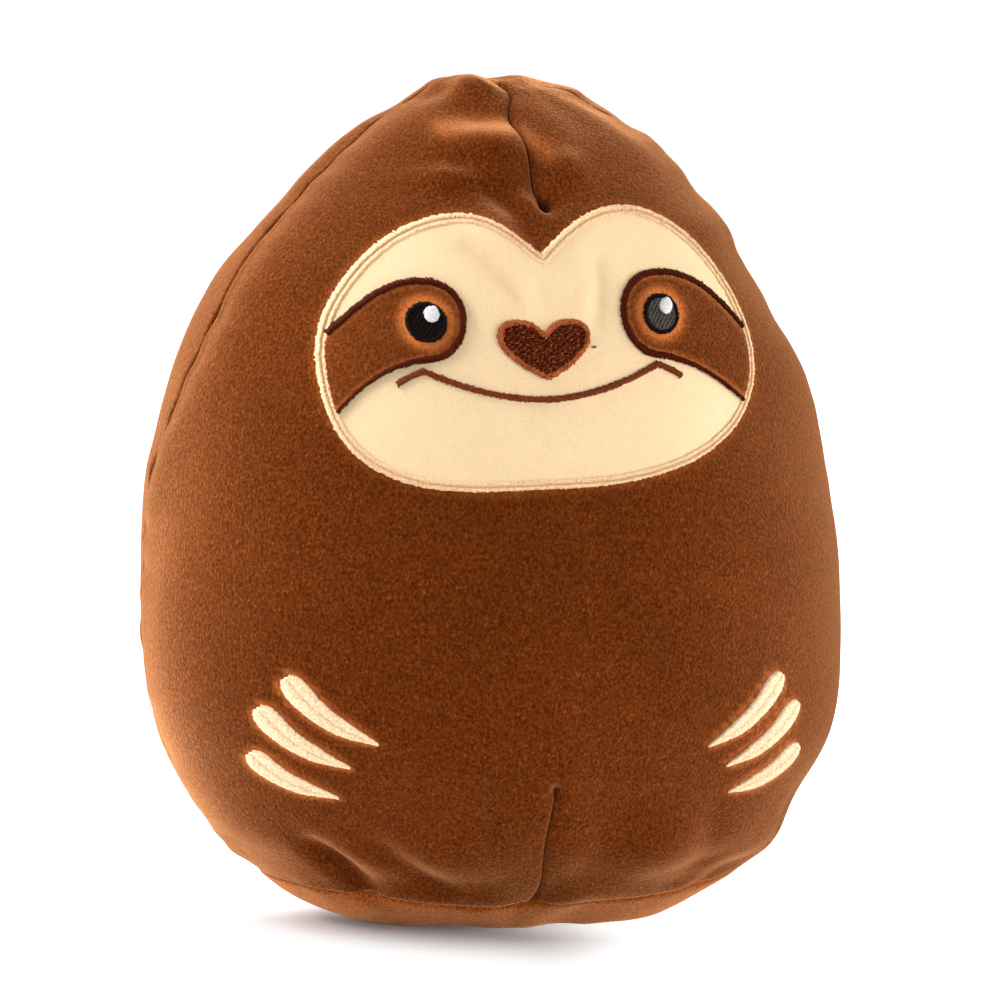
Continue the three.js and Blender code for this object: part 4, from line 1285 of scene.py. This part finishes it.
# the right eye's fill is black thread painted grey as a painted sheen
for word, fill_thread in (("left", black_thread), ("right", black_thread_painted_sheen)):
    eye = np.array(EYES[word]) * mm
    disc = filled(round_outline(eye, EYE_RADIUS - DISC_INSET), DISC_DIRECTION, DISC_PITCH, DISC_LONGEST)
    lay_stitches("satin_eye_" + word, disc, EYE_TOP, DISC_BOW, fill_thread, "black_thread", "eye_" + word)
    ring = satin_band(round_outline(eye, EYE_RADIUS - EYE_RING / 2), EYE_RING)
    lay_stitches("satin_eye_ring_" + word, ring, EYE_TOP, RING_BOW, black_thread, "black_thread",
                 "eye_" + word)
    glint_middle = eye + np.array(GLINT_SHIFT) * mm
    glint = filled(round_outline(glint_middle, GLINT_RADIUS), GLINT_DIRECTION, GLINT_PITCH)
    lay_stitches("satin_eye_highlight_" + word, glint, EYE_TOP + GLINT_LIFT, GLINT_BOW, white_thread,
                 "white_thread", "eye_highlight_" + word, ragged=GLINT_RAGGED)

# %% Nose
NOSE_MIDDLE = (-0.3, 134)
NOSE_DIRECTION = 8
NOSE_LONGEST = 2.2 * mm
NOSE_FILL_INSET = 0.9 * mm
NOSE_FILL_BOW = 0.55 * mm
NOSE_EDGE_INSET = 0.6 * mm
NOSE_EDGE_WIDTH = 1.25 * mm
NOSE_EDGE_BOW = 0.85 * mm
heart = placed(with_mirror(joined(
    [(0, 7), (1.5, 9.5), (3.6, 10.1), (6, 10.1)],
    [(6, 10.1), (10, 10.1), (11, 8.3), (11, 6.4)],
    [(11, 6.4), (11, 2.5), (4.4, -1.5), (0, -3.4)],
)), NOSE_MIDDLE)
nose_rows = filled(drawn_in(heart, NOSE_FILL_INSET), NOSE_DIRECTION, longest=NOSE_LONGEST)
lay_stitches("satin_nose_fill", nose_rows, EYE_LEVEL, NOSE_FILL_BOW, nose_thread, "dark_thread", "nose_fill")
lay_stitches("satin_nose_edging", satin_band(drawn_in(heart, NOSE_EDGE_INSET), NOSE_EDGE_WIDTH),
             EYE_LEVEL, NOSE_EDGE_BOW, orange_thread, "rust_thread", "nose_edging")

# %% Mouth
MOUTH_WIDTH = 1.25 * mm
MOUTH_SLANT = 0.3 * mm
MOUTH_BOW = 0.75 * mm
MOUTH_MIDDLE = (-0.8, 133.2)
MOUTH_TILT = 0.8
SMILE = [(27.7, 0), (18.9, -4.2), (9.2, -6.9), (0, -6.9)]
TICK = [(27.7, 0), (29.4, -0.6), (31.4, -1.3), (33.6, -2.9)]
STRAY_STITCHES = [(11.4, 137.8)]
STRAY = (0.45 * mm, 0.1 * mm)


def mirrored(corners):
    return [(-x, z) for x, z in corners]


def open_line(*curves):
    """Joined curves with their last point."""
    return placed(np.concatenate([joined(*curves), [curves[-1][-1]]]), MOUTH_MIDDLE, MOUTH_TILT)


mouth_lines = [open_line(mirrored(SMILE), SMILE[::-1]), open_line(mirrored(TICK)), open_line(TICK)]
stitches = []
for line in mouth_lines:
    stitches += satin_band(line, MOUTH_WIDTH, closed=False, slant=MOUTH_SLANT)
stitches += [(np.array(place) * mm, np.array(place) * mm + STRAY) for place in STRAY_STITCHES]
lay_stitches("satin_mouth", stitches, EYE_LEVEL, MOUTH_BOW, rust_thread, "rust_thread", "mouth_stitch")

# %% [markdown]
# ## Claws
# Three claws on each flank are satin stitched straight on the plush. Each is a crescent that is
# round at its outer end and pointed at its inner end. Wide satin is stitched in two halves that
# meet on the crescent's spine, which leaves the fine groove along its middle.

# %% Claws
CLAWS = {
    # outer end (x, z), length, slope downwards and inwards
    "left": [(-59.1, 62.5, 24.6, 37.4), (-64.6, 55.1, 23.5, 34.5), (-65.5, 44.1, 20.8, 27.6)],
    "right": [(58.6, 60.3, 25, 38), (64.1, 52.9, 23.8, 33.8), (65.4, 42.1, 21.6, 24.6)],
}
CLAW_WIDTHS = {"left": (5.1, 4.8, 4.3), "right": (5.3, 5.0, 4.9)}
CLAW_TAPER = [(0, 0.42), (0.03, 0.68), (0.07, 0.88), (0.13, 0.98), (0.22, 1), (0.45, 0.85), (0.68, 0.7),
              (0.85, 0.4), (1, 0.1)]
CLAW_SAG = 0.085
CLAW_LEAN = 0.5
CLAW_LEVEL = 0.2 * mm
CLAW_BOW = 0.7 * mm
CLAW_PITCH = 0.3 * mm
CLAW_CROWDING = 1.1
CLAW_THREAD = 0.46 * mm
CLAW_RAGGED = 0.06 * mm
SPINE_WANDER = 0.2
SPINE_OVERLAP = 0.15


def claw_stitches(x, z, long, slope, width):
    """Stitches from each edge of the crescent to its spine."""
    t = np.linspace(0, 1, round(long * mm / CLAW_PITCH)) ** CLAW_CROWDING
    half = width / 2 * np.interp(t, *zip(*CLAW_TAPER))
    spine = np.stack([t * long, -CLAW_SAG * long * np.sin(math.pi * t)], axis=1)
    across = sideways(spine, closed=False)
    inwards = 1 if x < 0 else -1

    def on_flank(points):
        return ((x, z) + points @ turning(-slope) * (inwards, 1)) * mm

    lean = np.stack([CLAW_LEAN * smoothstep(t, 0.05, 0.3), 0 * t], axis=1)
    upper = on_flank(spine + across * half[:, None] - lean)
    lower = on_flank(spine - across * half[:, None] - lean)
    wander = needle.uniform(-SPINE_WANDER, SPINE_WANDER, len(t)) * np.minimum(1, half)
    below = on_flank(spine + across * (wander - SPINE_OVERLAP)[:, None])
    past = on_flank(spine + across * (wander + SPINE_OVERLAP)[:, None])
    return list(zip(upper, below)) + list(zip(lower, past))


claw_edges = []
for word, claws in CLAWS.items():
    for i, claw in enumerate(claws):
        name = f"claw_{word}_{i + 1}"
        stitches = claw_stitches(*claw, CLAW_WIDTHS[word][i])
        lay_stitches("satin_" + name, stitches, CLAW_LEVEL, CLAW_BOW, cream_satin, "cream_satin", name,
                     width=CLAW_THREAD, ragged=CLAW_RAGGED)
        half = len(stitches) // 2
        edge = [outer for outer, _ in stitches[:half:6]] + [outer for outer, _ in stitches[:half:-6]]
        claw_edges.append(np.array(edge))

# %% [markdown]
# ## Painted glow beside stitches and painted highlights on ridges
# Beside stitches the pile shows a pale orange rim of light, and this rim is painted into its colour, so the
# front panel is marked along the claws and the face. The ridges above the crown dart are marked too,
# with painted highlights.

# %% Paint glow and highlights on the front
# reach and strength of the painted glow beside the claws and the face
GLOW_AT_CLAWS = (0.9 * mm, 0.6)
GLOW_AT_FACE = (1.1 * mm, 0.2)
# painted highlights: reach, strength and lines of the lighter colour painted on the ridges above the crown
# dart, where light catches them
RIDGE_HIGHLIGHT = (2.4 * mm, 0.3)
HIGHLIGHT_RIDGES = [[(-17, 187.6), (-10, 188.4), (-4, 187.8)], [(2.5, 184.8), (5.5, 182.3)]]
lines = [(edge, True, *GLOW_AT_CLAWS) for edge in claw_edges]
lines += [(np.array(ridge) * mm, False, *RIDGE_HIGHLIGHT) for ridge in HIGHLIGHT_RIDGES]
paint_glow(panels["front_panel"], [*lines, (face_outline[::3], True, *GLOW_AT_FACE)])
# painted glow beside the claws and painted highlights on the ridges
print("pile parted beside", len(claw_edges), "claws and painted highlights on", len(HIGHLIGHT_RIDGES), "ridges")

# %% [markdown]
# ## Stiffening cloth
# Behind the embroidery, inside the front panel, lie pieces of woven stiffener that kept the plush
# from stretching under the needle. They don't show on the finished toy.

# %% Backings
BACKING = 0.5 * mm
BACKING_DEPTH = -(FABRIC + BACKING + 0.3 * mm)


def oval(x, z, wide, high, squareness):
    angle = np.arange(72) / 72 * 2 * math.pi
    across = np.sign(np.cos(angle)) * np.abs(np.cos(angle)) ** (2 / squareness)
    up = np.sign(np.sin(angle)) * np.abs(np.sin(angle)) ** (2 / squareness)
    return np.stack([x + wide * across, z + high * up], axis=1) * mm


for name, outline in (
    ("face_backing", drawn_in(face_outline, -3 * mm)),
    ("claw_backing_left", oval(-50, 47, 15, 19, 2.2)),
    ("claw_backing_right", oval(50, 47, 15, 19, 2.2)),
):
    sewn_sheet("woven_" + name, outline, BACKING_DEPTH, BACKING, backing_cloth, "backing_cloth", name,
               "soft_filling", cell=2 * mm, pressed=0)

# %% [markdown]
# ## Floor and light
# The photograph is a catalogue picture: a white sweep, one large soft light up on the left, one
# behind it that catches the left edge of the toy, and weaker ones from the right, from in front
# and low down. To the camera alone the floor is a little darker and glows: faintly near a point in
# front of the toy and to the viewer's left, and white further off. That gives the shadow its depth
# there, while the glow paints out the toy's shadow on the right, and the floor runs into the white
# background.

# %% Floor
FLOOR_SIZE = 8
FLOOR_WHITE = 0.88
FLOOR_SEEN = 0.6
FLOOR_GLOW = 0.06
# painted light: the floor's glow to the camera grows with distance from a point in front and to the left,
# and paints out the shadow further off
WHITE_FROM = 55 * mm
WHITE_AT = 95 * mm
SHADOW_MIDDLE = (-60 * mm, -60 * mm, 0)


def background_ray(tree):
    """One for rays that should see the white background, else zero."""
    path = node(tree, "LightPath")
    total = path.outputs["Is Camera Ray"]
    for kind in ("Is Glossy Ray", "Is Transmission Ray"):
        total = node(tree, "Math", {0: total, 1: path.outputs[kind]}, operation="MAXIMUM").outputs[0]
    return total


def floor_look(tree):
    """Grey enough to the camera for a shadow to show in front and to the left, and glowing white further
    off, which paints out the shadow on the right.
    """
    seen = background_ray(tree)
    tone = node(tree, "MapRange", {"Value": seen, "To Min": FLOOR_WHITE, "To Max": FLOOR_SEEN})
    away = node(tree, "VectorMath", {0: object_place(tree), 1: SHADOW_MIDDLE}, operation="DISTANCE")
    outwards = node(tree, "MapRange", {
        "Value": away.outputs["Value"],
        "From Min": WHITE_FROM,
        "From Max": WHITE_AT,
        "To Min": FLOOR_GLOW,
    }, interpolation_type="SMOOTHSTEP")
    glow = node(tree, "Math", {0: seen, 1: outwards.outputs["Result"]}, operation="MULTIPLY")
    return {
        "Base Color": tone.outputs["Result"],
        "Roughness": 0.9,
        "Specular IOR Level": 0.1,
        "Emission Color": (1, 1, 1, 1),
        "Emission Strength": glow.outputs[0],
    }


def make_floor():
    shape = bmesh.new()
    bmesh.ops.create_grid(shape, x_segments=1, y_segments=1, size=FLOOR_SIZE / 2)
    floor = mesh_object("floor", shape)
    floor.data.materials.append(finished("white floor", floor_look))


make_floor()

# %% Lights
WORLD_LIGHT = 0.34


def make_world():
    world = bpy.data.worlds.new("studio")
    bpy.context.scene.world = world
    world.use_nodes = True
    tree = world.node_tree
    level = node(tree, "MapRange", {"Value": background_ray(tree), "To Min": WORLD_LIGHT, "To Max": 1})
    feed(tree, tree.nodes["Background"], {"Color": (1, 1, 1, 1), "Strength": level.outputs["Result"]})


def softbox(name, place, size, power):
    """A rectangular lamp, in metres and watts, turned to the middle of the toy."""
    data = bpy.data.lights.new(name, "AREA")
    data.shape = "RECTANGLE"
    data.size, data.size_y = size
    data.energy = power
    lamp = linked(name, data)
    lamp.location = place
    lamp.rotation_euler = (Vector(place) - LOOK_AT).to_track_quat("Z", "Y").to_euler()


make_world()
for name, place, size, power in (
    ("upper left", (-0.7, 0.1, 0.8), (0.6, 0.6), 15),
    ("left", (-0.95, 0, 0.35), (0.5, 0.8), 2.4),
    ("left behind", (-0.75, 0.6, 0.4), (0.5, 0.8), 8.4),
    ("right", (0.95, 0, 0.35), (0.5, 0.8), 4),
    ("right in front", (0.75, -0.7, 0.4), (0.5, 0.7), 2.3),
    ("in front", (-0.2, -1.1, 0.3), (0.6, 0.6), 0.5),
    ("low left", (-0.8, -0.45, 0.05), (0.8, 0.12), 0.5),
    ("low right", (0.8, -0.45, 0.05), (0.8, 0.12), 6),
):
    softbox(name, place, size, power)
bpy.context.scene.view_settings.view_transform = "Standard"
print("lights:", len(bpy.data.lights), "softboxes and a studio sky")
